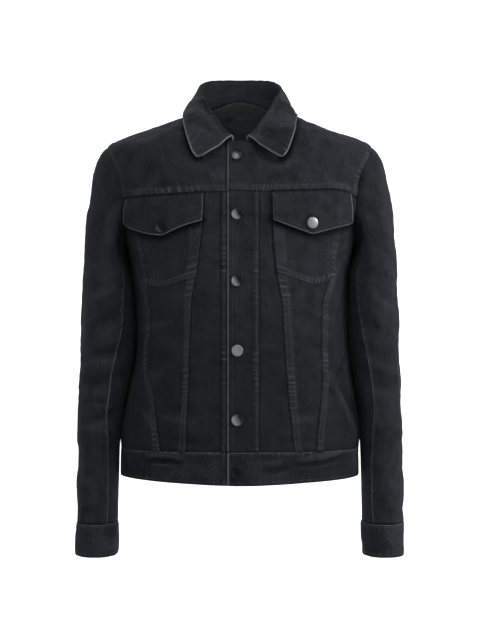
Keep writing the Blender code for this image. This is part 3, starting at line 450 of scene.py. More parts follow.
class Panel:
    # one cut piece: its grid of points, and how far each lies from its four edges

    def __init__(
        self, name, node, edges, roles, place, thick=cloth["single"], step=cloth["step"], widths=None
    ):
        self.name, self.node, self.roles, self.thick = name, node, roles, thick
        widths = widths or {}
        fine, coarse, mid = np.linspace(0, 1, 33), np.linspace(0, 1, 25), np.array([0.5])
        t, s = np.meshgrid(fine, coarse, indexing="ij")
        sample = place(patchAt(edges, s, t))[0]
        rowLength, columnLength = arcLengths(sample, 1), arcLengths(sample, 0)
        self.flat = (float(rowLength.max()), float(columnLength.max()))

        def widthAt(edge, share):
            width = np.atleast_1d(widths.get(edge, cloth["fellWidth"]))
            return np.interp(share, np.linspace(0, 1, len(width)), width)

        def near(edge, share):
            return fellLines(widthAt(edge, share)) if roles.get(edge) == "over" else np.zeros((len(share), 0))

        def taken(edge):
            return float(near(edge, mid)[0, -1]) if roles.get(edge) == "over" else 0.0

        rowCount = max(3, round((columnLength.mean() - taken("bottom") - taken("top")) / step))
        columnCount = max(3, round((rowLength.mean() - taken("start") - taken("end")) / step))
        tall, wide = columnLength.mean(), rowLength.mean()
        t0 = cuts(tall[None], rowCount, near("bottom", mid), near("top", mid))[0] / tall
        s0 = cuts(wide[None], columnCount, near("start", mid), near("end", mid))[0] / wide
        length = np.interp(t0, fine, rowLength)
        s = cuts(length, columnCount, near("start", t0), near("end", t0)) / length[:, None]
        height = np.interp(s0, coarse, columnLength)
        t = (cuts(height, rowCount, near("bottom", s0), near("top", s0)) / height[:, None]).T
        self.points, self.normal, self.through = place(patchAt(edges, s, t))
        width, tall = np.interp(t, fine, rowLength), np.interp(s, coarse, columnLength)
        self.gaps = {"start": s * width, "end": (1 - s) * width, "bottom": t * tall, "top": (1 - t) * tall}
        self.runs = {"start": t * tall, "end": t * tall, "bottom": s * width, "top": s * width}
        self.uv = np.stack([(s - 0.5) * width, t * columnLength.mean()], -1)
        share = {"start": t, "end": t, "bottom": s, "top": s}
        self.width = {edge: widthAt(edge, share[edge]) for edge in self.gaps}
        self.wear = {}
        self.lift = np.zeros(self.points.shape[:2])
        self.felled = np.zeros(self.points.shape[:2])
        self.seed = sum(map(ord, name)) % 97


fullCrest = 0.0012  # a crease this high is rubbed all the way
# painted shade for the body: how far the waist and the flanks are darkened
bodyShade = {"waist": 0.50, "flank": 0.85}  # how much darker than the chest
lines = {"start": np.s_[:, 0], "end": np.s_[:, -1], "bottom": np.s_[0], "top": np.s_[-1]}
nextLines = {"start": np.s_[:, 1], "end": np.s_[:, -2], "bottom": np.s_[1], "top": np.s_[-2]}


def puckers(run, seed, size=0.0082):
    # uneven gathers along a seam, from -1 to 1
    wander = 2.0 * np.sin(run / 0.0190 + seed) + 1.5 * np.sin(run / 0.0067 + 2.1 * seed)
    strength = 0.55 + 0.45 * np.sin(run / 0.0230 + 1.7 * seed)
    return np.sin(2 * math.pi * run / size + wander) * strength


def dressPanel(panel, folds, puckerHeight):
    # seam profiles, puckers and creases, as a lift off the plain surface
    panel.wave = np.zeros(panel.points.shape[:2])
    calm = 1 - 0.9 * sideContact(panel.points)
    for edge, role in panel.roles.items():
        gap, run, width = panel.gaps[edge], panel.runs[edge], panel.width[edge]
        if role == "over":
            plateau = 1 - ease((gap - width + 0.0004) / 0.0026)
            rounding = ease(gap / 0.0011) * 0.55 + 0.45
            stitchDip = bump((gap - 0.0021) / 0.0007) + bump((gap - width + fellRows["second"]) / 0.0008)
            level = cloth["fellLift"] * plateau * rounding - 0.00022 * stitchDip
            panel.felled = np.maximum(panel.felled, plateau)
            reach = width * 0.9
            wave = puckers(run, panel.seed + len(edge)) * bump((gap - width * 0.45) / reach)
            panel.wave = panel.wave + wave
            panel.lift = panel.lift + level + wave * calm * puckerHeight * ease(gap / 0.0012)
        elif role == "under":
            wave = puckers(run, panel.seed + len(edge)) * bump((gap - 0.002) / 0.008)
            panel.wave = panel.wave + wave * 0.6
            panel.lift = panel.lift + wave * calm * puckerHeight * 0.8
            panel.lift = panel.lift - cloth["tuckDrop"] * (1 - ease(gap / 0.0030))
    bigFold = bigFoldLift(panel.points)
    flatPoints = panel.points + panel.normal * bigFold[..., None]
    crease = creaseLift(panel.points, allCreases) * folds * calm
    panel.ridge = np.clip(crease / fullCrest + np.maximum(bigFold, 0) / 0.005, -1, 1)
    # painted shade in the troughs of big folds and creases
    panel.hollow = np.clip(np.maximum(-bigFold, 0) / 0.005 + np.maximum(-crease, 0) / 0.0022, 0, 1)
    crease = crease + rippleLift(panel.points) * folds * calm
    if not panel.name.startswith("sleeve"):
        crease = crease + sideLift(panel.points)
        # painted shade: darker towards the waist, and most of all on the flanks, where the body turns away
        # under the sleeves
        reach, height = np.abs(panel.points[..., 0]), panel.points[..., 2]
        flank = ease((reach - 0.138) / 0.020) * ease((-0.19 - height) / 0.10)
        waistFlankShade = np.maximum(bodyShade["waist"] * ease((-0.20 - height) / 0.20), bodyShade["flank"] * flank)
        panel.hollow = np.maximum(panel.hollow, waistFlankShade)
    panel.outer = flatPoints + panel.normal * (panel.lift + crease)[..., None]
    for edge, role in panel.roles.items():
        if role == "under":
            away = unit(panel.points[lines[edge]] - panel.points[nextLines[edge]])
            panel.outer[lines[edge]] += away * cloth["tuck"]
    panel.depth = panel.through * panel.thick


def addFloats(mesh, name, values):
    data = mesh.attributes.new(name, "FLOAT", "POINT").data
    data.foreach_set("value", np.asarray(values, np.float32).ravel())


pieces = {}


def meshFrom(name, points, faces, uv=None, floats=None):
    # faces: one array of quads and one of triangles
    counts = np.concatenate([np.full(len(block), block.shape[1]) for block in faces if len(block)])
    corners = np.concatenate([block.ravel() for block in faces if len(block)]).astype(np.int32)
    mesh = bpy.data.meshes.new(name)
    mesh.vertices.add(len(points))
    mesh.vertices.foreach_set("co", np.asarray(points, np.float32).ravel())
    mesh.loops.add(len(corners))
    mesh.loops.foreach_set("vertex_index", corners)
    mesh.polygons.add(len(counts))
    mesh.polygons.foreach_set("loop_start", np.concatenate([[0], np.cumsum(counts)[:-1]]).astype(np.int32))
    mesh.update(calc_edges=True)
    mesh.shade_smooth()
    if uv is not None:
        layer = mesh.uv_layers.new(name="UVMap")
        layer.data.foreach_set("uv", np.asarray(uv, np.float32)[corners].ravel())
    for key, values in (floats or {}).items():
        addFloats(mesh, key, values)
    mesh.validate()
    pieces[name] = addObject(name, mesh)
    return pieces[name]


rimShare = 0.3  # how much a rim looks like the inside of the cloth


def wall(name, outer, depth, uv, floats, closed=False):
    # a shell with round edges: outer points, inner points, and one line round the middle of the rim
    rows, columns = outer.shape[:2]
    inner = outer + depth
    at = np.arange(rows * columns).reshape(rows, columns)
    behind = at + rows * columns
    if closed:
        at, behind = np.hstack([at, at[:, :1]]), np.hstack([behind, behind[:, :1]])
    quads = [
        np.stack(corners, -1).reshape(-1, 4)
        for corners in (
            (at[:-1, :-1], at[:-1, 1:], at[1:, 1:], at[1:, :-1]),
            (behind[:-1, :-1], behind[1:, :-1], behind[1:, 1:], behind[:-1, 1:]),
        )
    ]
    if closed:
        rims = [(at[0], False), (at[-1], True)]
    else:
        ring = np.concatenate([at[0], at[1:, -1], at[-1, -2::-1], at[-2:0:-1, 0]])
        rims = [(np.append(ring, ring[0]), False)]
    points = [outer.reshape(-1, 3), inner.reshape(-1, 3)]
    uvs = [uv.reshape(-1, 2), uv.reshape(-1, 2)]
    total = 2 * rows * columns
    extra = []
    near = outer.copy()
    near[0], near[-1] = outer[1], outer[-2]
    if not closed:
        near[:, 0], near[:, -1] = outer[:, 1], outer[:, -2]
        near[0, 0], near[0, -1] = outer[1, 1], outer[1, -2]
        near[-1, 0], near[-1, -1] = outer[-2, 1], outer[-2, -2]
    flatOuter, flatInner, flatNear = outer.reshape(-1, 3), inner.reshape(-1, 3), near.reshape(-1, 3)
    for ring, turned in rims:
        loop = ring[:-1]
        away = unit(flatOuter[loop] - flatNear[loop])
        middle = (flatOuter[loop] + flatInner[loop]) / 2 + away * cloth["edgeRound"]
        points.append(middle)
        uvs.append(uv.reshape(-1, 2)[loop])
        extra.append(loop)
        mids = total + np.arange(len(loop))
        total += len(loop)
        a, b = loop, np.roll(loop, -1)
        m, n = mids, np.roll(mids, -1)
        c, d = loop + rows * columns, np.roll(loop, -1) + rows * columns
        for block in (np.stack([a, m, n, b], -1), np.stack([m, c, d, n], -1)):
            quads.append(block[:, ::-1] if turned else block)
    points = np.concatenate(points)
    faces = np.concatenate(quads)
    tri = points[faces[:, [0, 1, 2, 0, 2, 3]]].reshape(-1, 3, 3)
    if np.einsum("ij,ij->i", tri[:, 0], np.cross(tri[:, 1], tri[:, 2])).sum() < 0:
        faces = faces[:, ::-1]
    filled = {}
    for key, values in floats.items():
        flat = np.asarray(values, float).ravel()
        filled[key] = np.concatenate([flat, flat] + [flat[loop] for loop in extra])
    if "inside" not in floats:
        flat = np.zeros(rows * columns)
        filled["inside"] = np.concatenate([flat, flat + 1] + [np.full(len(loop), rimShare) for loop in extra])
    return meshFrom(name, points, [faces], np.concatenate(uvs), filled)


# how rubbed each kind of edge is, and how far in the rubbing reaches
edgeWear = {"free": (1.0, 0.0016), "over": (0.30, 0.0014), "plain": (0.0, 0.001)}


def panelFloats(panel):
    gap = np.full(panel.points.shape[:2], 1.0)
    run, wear = np.zeros_like(gap), np.zeros_like(gap)
    for edge in panel.gaps:
        role = panel.roles.get(edge, "plain")
        if role == "under":
            continue
        closer = panel.gaps[edge] < gap
        gap = np.where(closer, panel.gaps[edge], gap)
        run = np.where(closer, panel.runs[edge], run)
        strength, reach = panel.wear.get(edge, edgeWear[role])
        wear = np.maximum(wear, strength * (1 - ease(panel.gaps[edge] / (2 * reach))))
    under = np.full(panel.points.shape[:2], 1.0)
    for edge, role in panel.roles.items():
        if role == "under":
            under = np.minimum(under, panel.gaps[edge])
    return {"edgeGap": gap, "edgeRun": run, "underGap": under, "ridge": panel.ridge, "felled": panel.felled,
            "wear": wear, "wave": panel.wave, "hollow": panel.hollow}


def addPiece(thing, material, node):
    thing.data.materials.append(material)
    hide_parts(node)
    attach(thing, "root")
    return thing


def finishPanel(panel):
    thing = wall(panel.name, panel.outer, panel.depth, panel.uv, panelFloats(panel))
    addPiece(thing, denimCloth, panel.node)


# ---- stitching

stitching = {"pitch": 0.0033, "length": 0.0029, "wide": 0.00065, "high": 0.00050}
binding = {"pitch": 0.00072, "length": 0.00066, "wide": 0.0014, "high": 0.0007}  # round a buttonhole
fellRows = {"first": 0.0020, "second": 0.0016}  # from the seam's edge, and from where its band ends
darkGroups = ("buttonholes", "stitches_flaps")
stitchRows = []


def stitchAlong(group, panel, edge, gap):
    # a row of stitches at a distance from an edge of a panel
    distance = panel.gaps[edge]
    outer, normal = panel.outer, panel.normal
    if edge in ("bottom", "top"):
        distance, outer, normal = distance.T, outer.transpose(1, 0, 2), normal.transpose(1, 0, 2)
    gaps = np.broadcast_to(np.asarray(gap, float), (len(distance),))
    order = slice(None) if distance[0, 0] < distance[0, -1] else slice(None, None, -1)
    path = np.array([readLine(g, d[order], o[order]) for g, d, o in zip(gaps, distance, outer)])
    facing = np.array([readLine(g, d[order], o[order]) for g, d, o in zip(gaps, distance, normal)])
    stitchRows.append((group, path, unit(facing)))


def sewPanel(panel, group="", felled=(), folds=1.0, puckerHeight=0.00048):
    # dresses and builds a panel, with two rows of stitches along each felled edge
    dressPanel(panel, folds, puckerHeight)
    finishPanel(panel)
    for edge in felled:
        width = panel.width[edge]
        line = {"bottom": width[0], "top": width[-1]}.get(edge, width[:, 0])
        stitchAlong(group, panel, edge, fellRows["first"])
        stitchAlong(group, panel, edge, line - fellRows["second"])


def stitchTree(material):
    tree = bpy.data.node_groups.new("stitchesAlongLines", "GeometryNodeTree")
    face = tree.interface
    face.new_socket("Lines", in_out="INPUT", socket_type="NodeSocketGeometry")
    sockets = {}
    for label in stitching:
        sockets[label] = face.new_socket(label, in_out="INPUT", socket_type="NodeSocketFloat").identifier
    face.new_socket("Stitches", in_out="OUTPUT", socket_type="NodeSocketGeometry")

    def node(kind, **values):
        made = tree.nodes.new(kind)
        for key, value in values.items():
            made.inputs[key].default_value = value
        return made

    given, result = node("NodeGroupInput"), node("NodeGroupOutput")
    toCurve, resample = node("GeometryNodeMeshToCurve"), node("GeometryNodeResampleCurve")
    resample.mode = "LENGTH"
    tangent = node("GeometryNodeInputTangent")
    outward = node("GeometryNodeInputNamedAttribute", Name="outward")
    outward.data_type = "FLOAT_VECTOR"
    alignRun, alignUp = node("FunctionNodeAlignRotationToVector"), node("FunctionNodeAlignRotationToVector")
    alignRun.axis = "X"
    alignUp.axis, alignUp.pivot_axis = "Z", "X"
    ball = node("GeometryNodeMeshUVSphere", Segments=6, Rings=4, Radius=0.5)
    rotateBall = node("GeometryNodeTransform", Rotation=(0, math.pi / 2, 0))
    size, shape = node("ShaderNodeCombineXYZ"), node("GeometryNodeTransform")
    place, realize = node("GeometryNodeInstanceOnPoints"), node("GeometryNodeRealizeInstances")
    smoothShade = node("GeometryNodeSetShadeSmooth")
    paint = node("GeometryNodeSetMaterial", Material=material)
    for source, output, target, entry in (
        (given, "Lines", toCurve, "Mesh"),
        (toCurve, "Curve", resample, "Curve"),
        (given, "pitch", resample, "Length"),
        (tangent, "Tangent", alignRun, "Vector"),
        (alignRun, "Rotation", alignUp, "Rotation"),
        (outward, "Attribute", alignUp, "Vector"),
        (given, "length", size, "X"),
        (given, "wide", size, "Y"),
        (given, "high", size, "Z"),
        (ball, "Mesh", rotateBall, "Geometry"),
        (rotateBall, "Geometry", shape, "Geometry"),
        (size, "Vector", shape, "Scale"),
        (resample, "Curve", place, "Points"),
        (shape, "Geometry", place, "Instance"),
        (alignUp, "Rotation", place, "Rotation"),
        (place, "Instances", realize, "Geometry"),
        (realize, "Geometry", smoothShade, "Geometry"),
        (smoothShade, "Geometry", paint, "Geometry"),
        (paint, "Geometry", result, "Stitches"),
    ):
        tree.links.new(source.outputs[output], target.inputs[entry])
    return tree, sockets


def sewRows():
    trees = {False: stitchTree(threadGrey), True: stitchTree(threadDark)}
    groups = {}
    for group, path, facing in stitchRows:
        groups.setdefault(group, []).append((path, facing))
    for group, rows in groups.items():
        sizes = binding if group == "buttonholes" else stitching
        points = np.concatenate([path for path, _ in rows])
        facing = np.concatenate([f for _, f in rows])
        starts = np.cumsum([0] + [len(path) for path, _ in rows])
        edges = [(i, i + 1) for a, b in zip(starts[:-1], starts[1:]) for i in range(a, b - 1)]
        mesh = bpy.data.meshes.new(group)
        mesh.from_pydata(points.tolist(), edges, [])
        data = mesh.attributes.new("outward", "FLOAT_VECTOR", "POINT").data
        data.foreach_set("vector", facing.astype(np.float32).ravel())
        guide = addObject(group + "_guide", mesh)
        modifier = guide.modifiers.new("stitches", "NODES")
        modifier.node_group, sockets = trees[group in darkGroups]
        for label, value in sizes.items():
            modifier[sockets[label]] = value
        made = bpy.data.meshes.new_from_object(guide.evaluated_get(bpy.context.evaluated_depsgraph_get()))
        bpy.data.objects.remove(guide)
        thing = addObject(group, made)
        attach(thing, "root")
        print("sewn:", group, len(made.polygons), "faces")


# ---- materials


class Shader:
    # a short way to write a material's nodes

    def __init__(self, name):
        self.material = bpy.data.materials.new(name)
        self.material.use_nodes = True
        self.nodes = self.material.node_tree.nodes
        self.links = self.material.node_tree.links
        self.surface = self.nodes["Principled BSDF"]

    def put(self, socket, value):
        if isinstance(value, bpy.types.NodeSocket):
            self.links.new(value, socket)
        else:
            socket.default_value = value

    def node(self, kind, **settings):
        made = self.nodes.new(kind)
        for key, value in settings.items():
            setattr(made, key, value)
        return made

    def math(self, operation, a, b=0.0):
        made = self.node("ShaderNodeMath", operation=operation)
        self.put(made.inputs[0], a)
        self.put(made.inputs[1], b)
        return made.outputs[0]

    def between(self, value, low, high, fromOne=False):
        # 0 below low, 1 above high, soft between
        made = self.node("ShaderNodeMapRange", interpolation_type="SMOOTHSTEP")
        self.put(made.inputs["Value"], value)
        self.put(made.inputs["From Min"], low)
        self.put(made.inputs["From Max"], high)
        made.inputs["To Min"].default_value = 1.0 if fromOne else 0.0
        made.inputs["To Max"].default_value = 0.0 if fromOne else 1.0
        return made.outputs["Result"]

    def mix(self, share, a, b):
        made = self.node("ShaderNodeMix", data_type="RGBA")
        self.put(made.inputs["Factor"], share)
        for socket, value in ((made.inputs[6], a), (made.inputs[7], b)):
            self.put(socket, (*value, 1) if isinstance(value, tuple) else value)
        return made.outputs[2]

    def attribute(self, name):
        return self.node("ShaderNodeAttribute", attribute_name=name).outputs["Fac"]

    def vector(self, x, y):
        made = self.node("ShaderNodeCombineXYZ")
        self.put(made.inputs[0], x)
        self.put(made.inputs[1], y)
        return made.outputs[0]

    def noise(self, vector, scale=1.0, detail=2.0, roughness=0.5):
        made = self.node("ShaderNodeTexNoise")
        self.put(made.inputs["Vector"], vector)
        made.inputs["Scale"].default_value = scale
        made.inputs["Detail"].default_value = detail
        made.inputs["Roughness"].default_value = roughness
        return made.outputs["Fac"]

    def ownPlace(self):
        return self.node("ShaderNodeTexCoord").outputs["Object"]

    def bump(self, height, distance, normal=None):
        made = self.node("ShaderNodeBump")
        self.put(made.inputs["Height"], height)
        made.inputs["Distance"].default_value = distance
        if normal is not None:
            self.links.new(normal, made.inputs["Normal"])
        return made.outputs["Normal"]


denim = {
    # painted shadow: near-black beside an upper panel and under the flaps and collar leaves
    "seam": (0.0020, 0.0022, 0.0027),
    "deep": (0.0042, 0.0047, 0.0060),
    "plain": (0.0190, 0.0205, 0.0248),
    "wearAndGlint": (0.038, 0.041, 0.048),
    "worn": (0.095, 0.100, 0.110),
    "inside": (0.0580, 0.0610, 0.0680),
    "twillPerMetre": 1050.0,
}
shadowReach = 0.0042  # how far the dark beside an upper panel reaches


def makeDenim(name, warpVertical=True):
    cloth = Shader(name)
    uv = cloth.node("ShaderNodeUVMap", uv_map="UVMap").outputs["UV"]
    split = cloth.node("ShaderNodeSeparateXYZ")
    cloth.links.new(uv, split.inputs[0])
    u, v = split.outputs["X"], split.outputs["Y"]
    if not warpVertical:
        u, v = v, u
    place = cloth.ownPlace()

    def times(value, factor):
        return cloth.math("MULTIPLY", value, factor)

    def plus(*values):
        total = values[0]
        for value in values[1:]:
            total = cloth.math("ADD", total, value)
        return total

    # twill: diagonal lines, broken up by uneven yarns
    warpYarn = cloth.noise(cloth.vector(times(u, 1500.0), times(v, 70.0)))
    weftYarn = cloth.noise(cloth.vector(times(u, 60.0), times(v, 1300.0)))
    phase = times(plus(u, times(v, 0.72)), denim["twillPerMetre"] * 2 * math.pi)
    twill = cloth.math("SINE", plus(phase, times(warpYarn, 2.4)))
    slub = cloth.noise(cloth.vector(times(u, 420.0), times(v, 16.0)), 1.0, 3.0, 0.6)
    cloud = cloth.noise(place, 14.0, 4.0, 0.6)
    patch = cloth.noise(place, 55.0, 3.0, 0.6)
    grain = cloth.noise(place, 420.0, 3.0, 0.7)
    # crumples: creased lines where a soft noise turns over
    crumple = cloth.noise(place, 30.0, 2.5, 0.55)
    crumple = cloth.math("ABSOLUTE", cloth.math("SUBTRACT", crumple, 0.5))
    crumple = cloth.math("POWER", cloth.math("SUBTRACT", 1.0, times(crumple, 3.0)), 2.0)

    gap, run, under, ridge, felled, inside, wear, wave, hollow = (
        cloth.attribute(name)
        for name in ("edgeGap", "edgeRun", "underGap", "ridge", "felled", "inside", "wear", "wave", "hollow")
    )

    # puckers finer than the mesh, across the seams
    pucker = cloth.noise(cloth.vector(times(run, 260.0), times(gap, 60.0)))
    seamReach = cloth.between(gap, 0.004, 0.018, fromOne=True)

    # colour: mottled, and paler on the raised places where it is rubbed; then painted shade towards the deep
    # colour in fold and crease troughs, towards the waist, on the flanks and on the sides away from the key
    # light
    shade = plus(times(slub, 0.42), times(cloud, 0.28), times(patch, 0.50), times(ridge, 0.10))
    shade = plus(shade, times(grain, 0.36), times(twill, 0.06), times(wave, 0.10))
    colour = cloth.mix(cloth.between(shade, 0.42, 1.22), denim["deep"], denim["plain"])
    colour = cloth.mix(times(hollow, 0.85), colour, denim["deep"])
    # stitched-down bands are a little paler, and the tops of their puckers paler still
    colour = cloth.mix(times(felled, 0.13), colour, denim["wearAndGlint"])
    crest = plus(times(wave, 0.75), times(pucker, 0.9))
    crest = times(cloth.between(crest, 0.50, 1.15), plus(times(felled, 0.80), times(seamReach, 0.20)))
    colour = cloth.mix(times(crest, 0.85), colour, denim["wearAndGlint"])
    # high ridges of creases
    high = times(cloth.between(ridge, 0.35, 1.1), cloth.between(grain, 0.35, 0.7))
    colour = cloth.mix(times(high, 0.32), colour, denim["wearAndGlint"])
    # worn edges, where the fold of the cloth rubs: broken up along the edge
    rub = cloth.noise(cloth.vector(times(run, 150.0), times(gap, 420.0)), 1.0, 4.0, 0.75)
    edge = cloth.between(plus(wear, times(rub, 0.9)), 0.86, 1.36)
    colour = cloth.mix(times(edge, 0.92), colour, denim["worn"])
    colour = cloth.mix(times(inside, 0.80), colour, denim["inside"])
    # painted shadow: the line just beside an upper panel, and the cloth under the flaps and the collar
    # leaves, is made near-black
    shadow = cloth.between(under, 0.0006, shadowReach, fromOne=True)
    colour = cloth.mix(times(shadow, 0.92), colour, denim["seam"])
    cloth.links.new(colour, cloth.surface.inputs["Base Color"])

    # relief
    weave = plus(times(twill, 0.5), times(weftYarn, 0.7), times(warpYarn, 0.7))
    normal = cloth.bump(times(pucker, seamReach), 0.0018)
    normal = cloth.bump(crumple, 0.0011, normal)
    normal = cloth.bump(plus(slub, times(cloud, 2.0), times(patch, 1.6)), 0.0007, normal)
    normal = cloth.bump(weave, 0.00012, normal)
    cloth.links.new(normal, cloth.surface.inputs["Normal"])
    cloth.surface.inputs["Roughness"].default_value = 0.88
    cloth.surface.inputs["Specular IOR Level"].default_value = 0.06
    cloth.surface.inputs["Sheen Weight"].default_value = 0.014
    cloth.surface.inputs["Sheen Roughness"].default_value = 0.45
    cloth.surface.inputs["Sheen Tint"].default_value = (0.75, 0.80, 0.90, 1)
    return cloth.material


def makeThread(name, colour):
    thread = Shader(name)
    place = thread.ownPlace()
    fade = thread.noise(place, 90.0, 3.0, 0.6)
    dark = tuple(c * 0.30 for c in colour)
    faded = thread.mix(thread.between(fade, 0.35, 0.65), dark, colour)
    thread.links.new(faded, thread.surface.inputs["Base Color"])
    twist = thread.node("ShaderNodeTexWave", wave_type="BANDS", bands_direction="DIAGONAL")
    thread.links.new(place, twist.inputs["Vector"])
    twist.inputs["Scale"].default_value = 900.0
    thread.links.new(thread.bump(twist.outputs["Fac"], 0.0001), thread.surface.inputs["Normal"])
    thread.surface.inputs["Roughness"].default_value = 0.62
    thread.surface.inputs["Specular IOR Level"].default_value = 0.15
    thread.surface.inputs["Sheen Weight"].default_value = 0.03
    return thread.material


def makeGunmetal(name):
    metal = Shader(name)
    place = metal.ownPlace()
    patina = metal.noise(place, 420.0, 4.0, 0.6)
    fine = metal.noise(place, 2600.0, 2.0, 0.6)
    # painted highlight and shade from each button's own values, over a random patina
    wearAndGlint = metal.attribute("rim")
    share = metal.math("ADD", metal.math("MULTIPLY", patina, 0.30), metal.math("MULTIPLY", wearAndGlint, 0.85))
    colour = metal.mix(metal.between(share, 0.30, 1.0), (0.008, 0.009, 0.011), (0.19, 0.19, 0.20))
    metal.links.new(colour, metal.surface.inputs["Base Color"])
    rough = metal.node("ShaderNodeMapRange")
    metal.links.new(fine, rough.inputs["Value"])
    rough.inputs["To Min"].default_value = 0.34
    rough.inputs["To Max"].default_value = 0.52
    metal.links.new(rough.outputs["Result"], metal.surface.inputs["Roughness"])
    metal.links.new(metal.bump(fine, 0.00004), metal.surface.inputs["Normal"])
    metal.surface.inputs["Metallic"].default_value = 1.0
    return metal.material


denimCloth = makeDenim("blackDenim")
crossDenim = makeDenim("blackDenimAcross", warpVertical=False)
threadGrey = makeThread("wornThread", (0.033, 0.036, 0.042))
threadDark = makeThread("darkThread", (0.010, 0.011, 0.014))
# painted shade for the buttonholes' slits
slitShade = makeThread("buttonholeSlitShade", (0.0025, 0.0026, 0.003))
gunmetal = makeGunmetal("agedGunmetal")


# ---- the sleeve's own surface

armhole = {"middle": 8.5, "half": 1.5, "front": math.radians(20), "back": math.radians(21)}
sleeve = table(
    "height inner outer front back",
    (-0.262, 0.1656, 0.2442, -0.0620, 0.0680),
    (-0.300, 0.1630, 0.2465, -0.0595, 0.0655),
    (-0.345, 0.1633, 0.2482, -0.0570, 0.0610),
    (-0.408, 0.1712, 0.2500, -0.0560, 0.0520),
    (-0.450, 0.1797, 0.2510, -0.0560, 0.0470),
    (-0.486, 0.1848, 0.2515, -0.0565, 0.0430),
    (-0.560, 0.1880, 0.2525, -0.0575, 0.0360),
    (-0.6262, 0.1892, 0.2530, -0.0580, 0.0305),
    (-0.6750, 0.1898, 0.2532, -0.0585, 0.0285),
)
sleeveShape = {"squareness": 2.15, "backSeam": 235.0, "capHold": 0.42, "leastOpening": 0.62}
cuff = {
    "top": -0.6262,
    "end": -0.6750,
    "proud": 0.0008,
    "around": 84,
    "radius": 0.0375,
    "length": 0.24,
    # painted shade on each cuff, deeper on the right one, away from the key light
    "leftPaintedShade": 0.25,
    "rightPaintedShade": 0.75,
    "rows": (0.0005, 0.0013, 0.0025, 0.0036, 0.0050, 0.0080),
}
sleeveFrontSeam = table(
    "height degrees", (-0.262, 133), (-0.331, 120), (-0.384, 109), (-0.448, 110), (-0.505, 123), (-0.675, 123)
)
# the armhole's stretches: yoke in front, front panel, back panel, yoke behind, as counts of steps
yokeSteps, armSteps = 5, 5
frontYokeTurn, underarmTurn = yokeSteps, yokeSteps + armSteps
backYokeTurn, lastTurn = underarmTurn + armSteps, 2 * (yokeSteps + armSteps)
sleeveFrontTurn = underarmTurn - 1
frontYokeEnd, backYokeHeight = -0.1270, -0.088


def armholePlace(turn, side=1):
    swing = np.where(np.sin(turn) > 0, armhole["front"], armhole["back"])
    level = armhole["middle"] + armhole["half"] * np.cos(turn)
    return np.stack([side * (math.pi / 2 - swing * np.sin(turn)), level], -1)


def armholeTurns():
    turns = np.linspace(0.3, math.pi, 400)
    front = np.interp(-frontYokeEnd, -bodyAt(armholePlace(turns))[:, 2], turns)
    back = 2 * math.pi - np.interp(-backYokeHeight, -bodyAt(armholePlace(-turns))[:, 2], turns)
    stops = [0, front, math.pi, back, 2 * math.pi]
    counts = [yokeSteps, armSteps, armSteps, yokeSteps]
    return np.concatenate([[0]] + [np.linspace(a, b, n + 1)[1:] for a, b, n in zip(stops, stops[1:], counts)])


turnStops = armholeTurns()


def turnAt(steps):
    return np.interp(steps, np.arange(lastTurn + 1), turnStops)


def armRun(first, last, side, count=60):
    # places along the armhole between two of its counted steps
    return armholePlace(turnAt(np.linspace(first, last, count + 1)), side)


def sleeveStart(turns, side):
    places = armholePlace(turns, side)
    points = bodyAt(places)
    outward = np.stack([0.90 + 0.05 * np.cos(turns), -0.5 * np.sin(turns), -0.43 - 0.02 * np.cos(turns)], -1)
    outward = unit(outward * np.array([side, 1, 1]))
    step = 1e-3
    run = bodyAt(armholePlace(turns + step, side)) - bodyAt(armholePlace(turns - step, side))
    seamNormal = unit(np.cross(run, outward)) * side + bodyNormal(places[..., 0], places[..., 1])
    opening = np.maximum(np.linalg.norm(seamNormal, axis=-1, keepdims=True) / 2, sleeveShape["leastOpening"])
    return points, outward, -unit(seamNormal) / opening


def sleeveRing(degrees, height, side, proud=0.0):
    keys = sleeve["height"][::-1]
    inner, front = (smooth(keys, sleeve[name][::-1], height) - proud for name in ("inner", "front"))
    outer, back = (smooth(keys, sleeve[name][::-1], height) + proud for name in ("outer", "back"))
    middle = smooth(body["level"], body["middle"], np.interp(height, body["zSide"], body["level"]))
    turn, power = np.radians(degrees), sleeveShape["squareness"]
    reach = (np.abs(np.cos(turn)) ** power + np.abs(np.sin(turn)) ** power) ** (-1 / power)
    x = (inner + outer) / 2 + (outer - inner) / 2 * reach * np.cos(turn)
    y = (front + back) / 2 - (back - front) / 2 * reach * np.sin(turn)
    shift = middle * (0.5 - 0.5 * np.cos(turn))  # the inner side follows the body
    return np.stack([side * x + shift, y, np.broadcast_to(height, np.shape(x))], -1)


def sleeveDegrees(steps, height):
    # the angle round the ring of each counted step of the armhole
    seam = smooth(sleeveFrontSeam["height"][::-1], sleeveFrontSeam["degrees"][::-1], height)
    before = lastTurn - backYokeTurn
    upper = np.linspace(sleeveShape["backSeam"] - 360, seam, before + sleeveFrontTurn + 1)
    under = np.linspace(seam, sleeveShape["backSeam"], backYokeTurn - sleeveFrontTurn + 1)
    known = np.concatenate([upper[before:], under[1:], upper[1 : before + 1] + 360])
    return np.interp(steps, np.arange(lastTurn + 1), known)


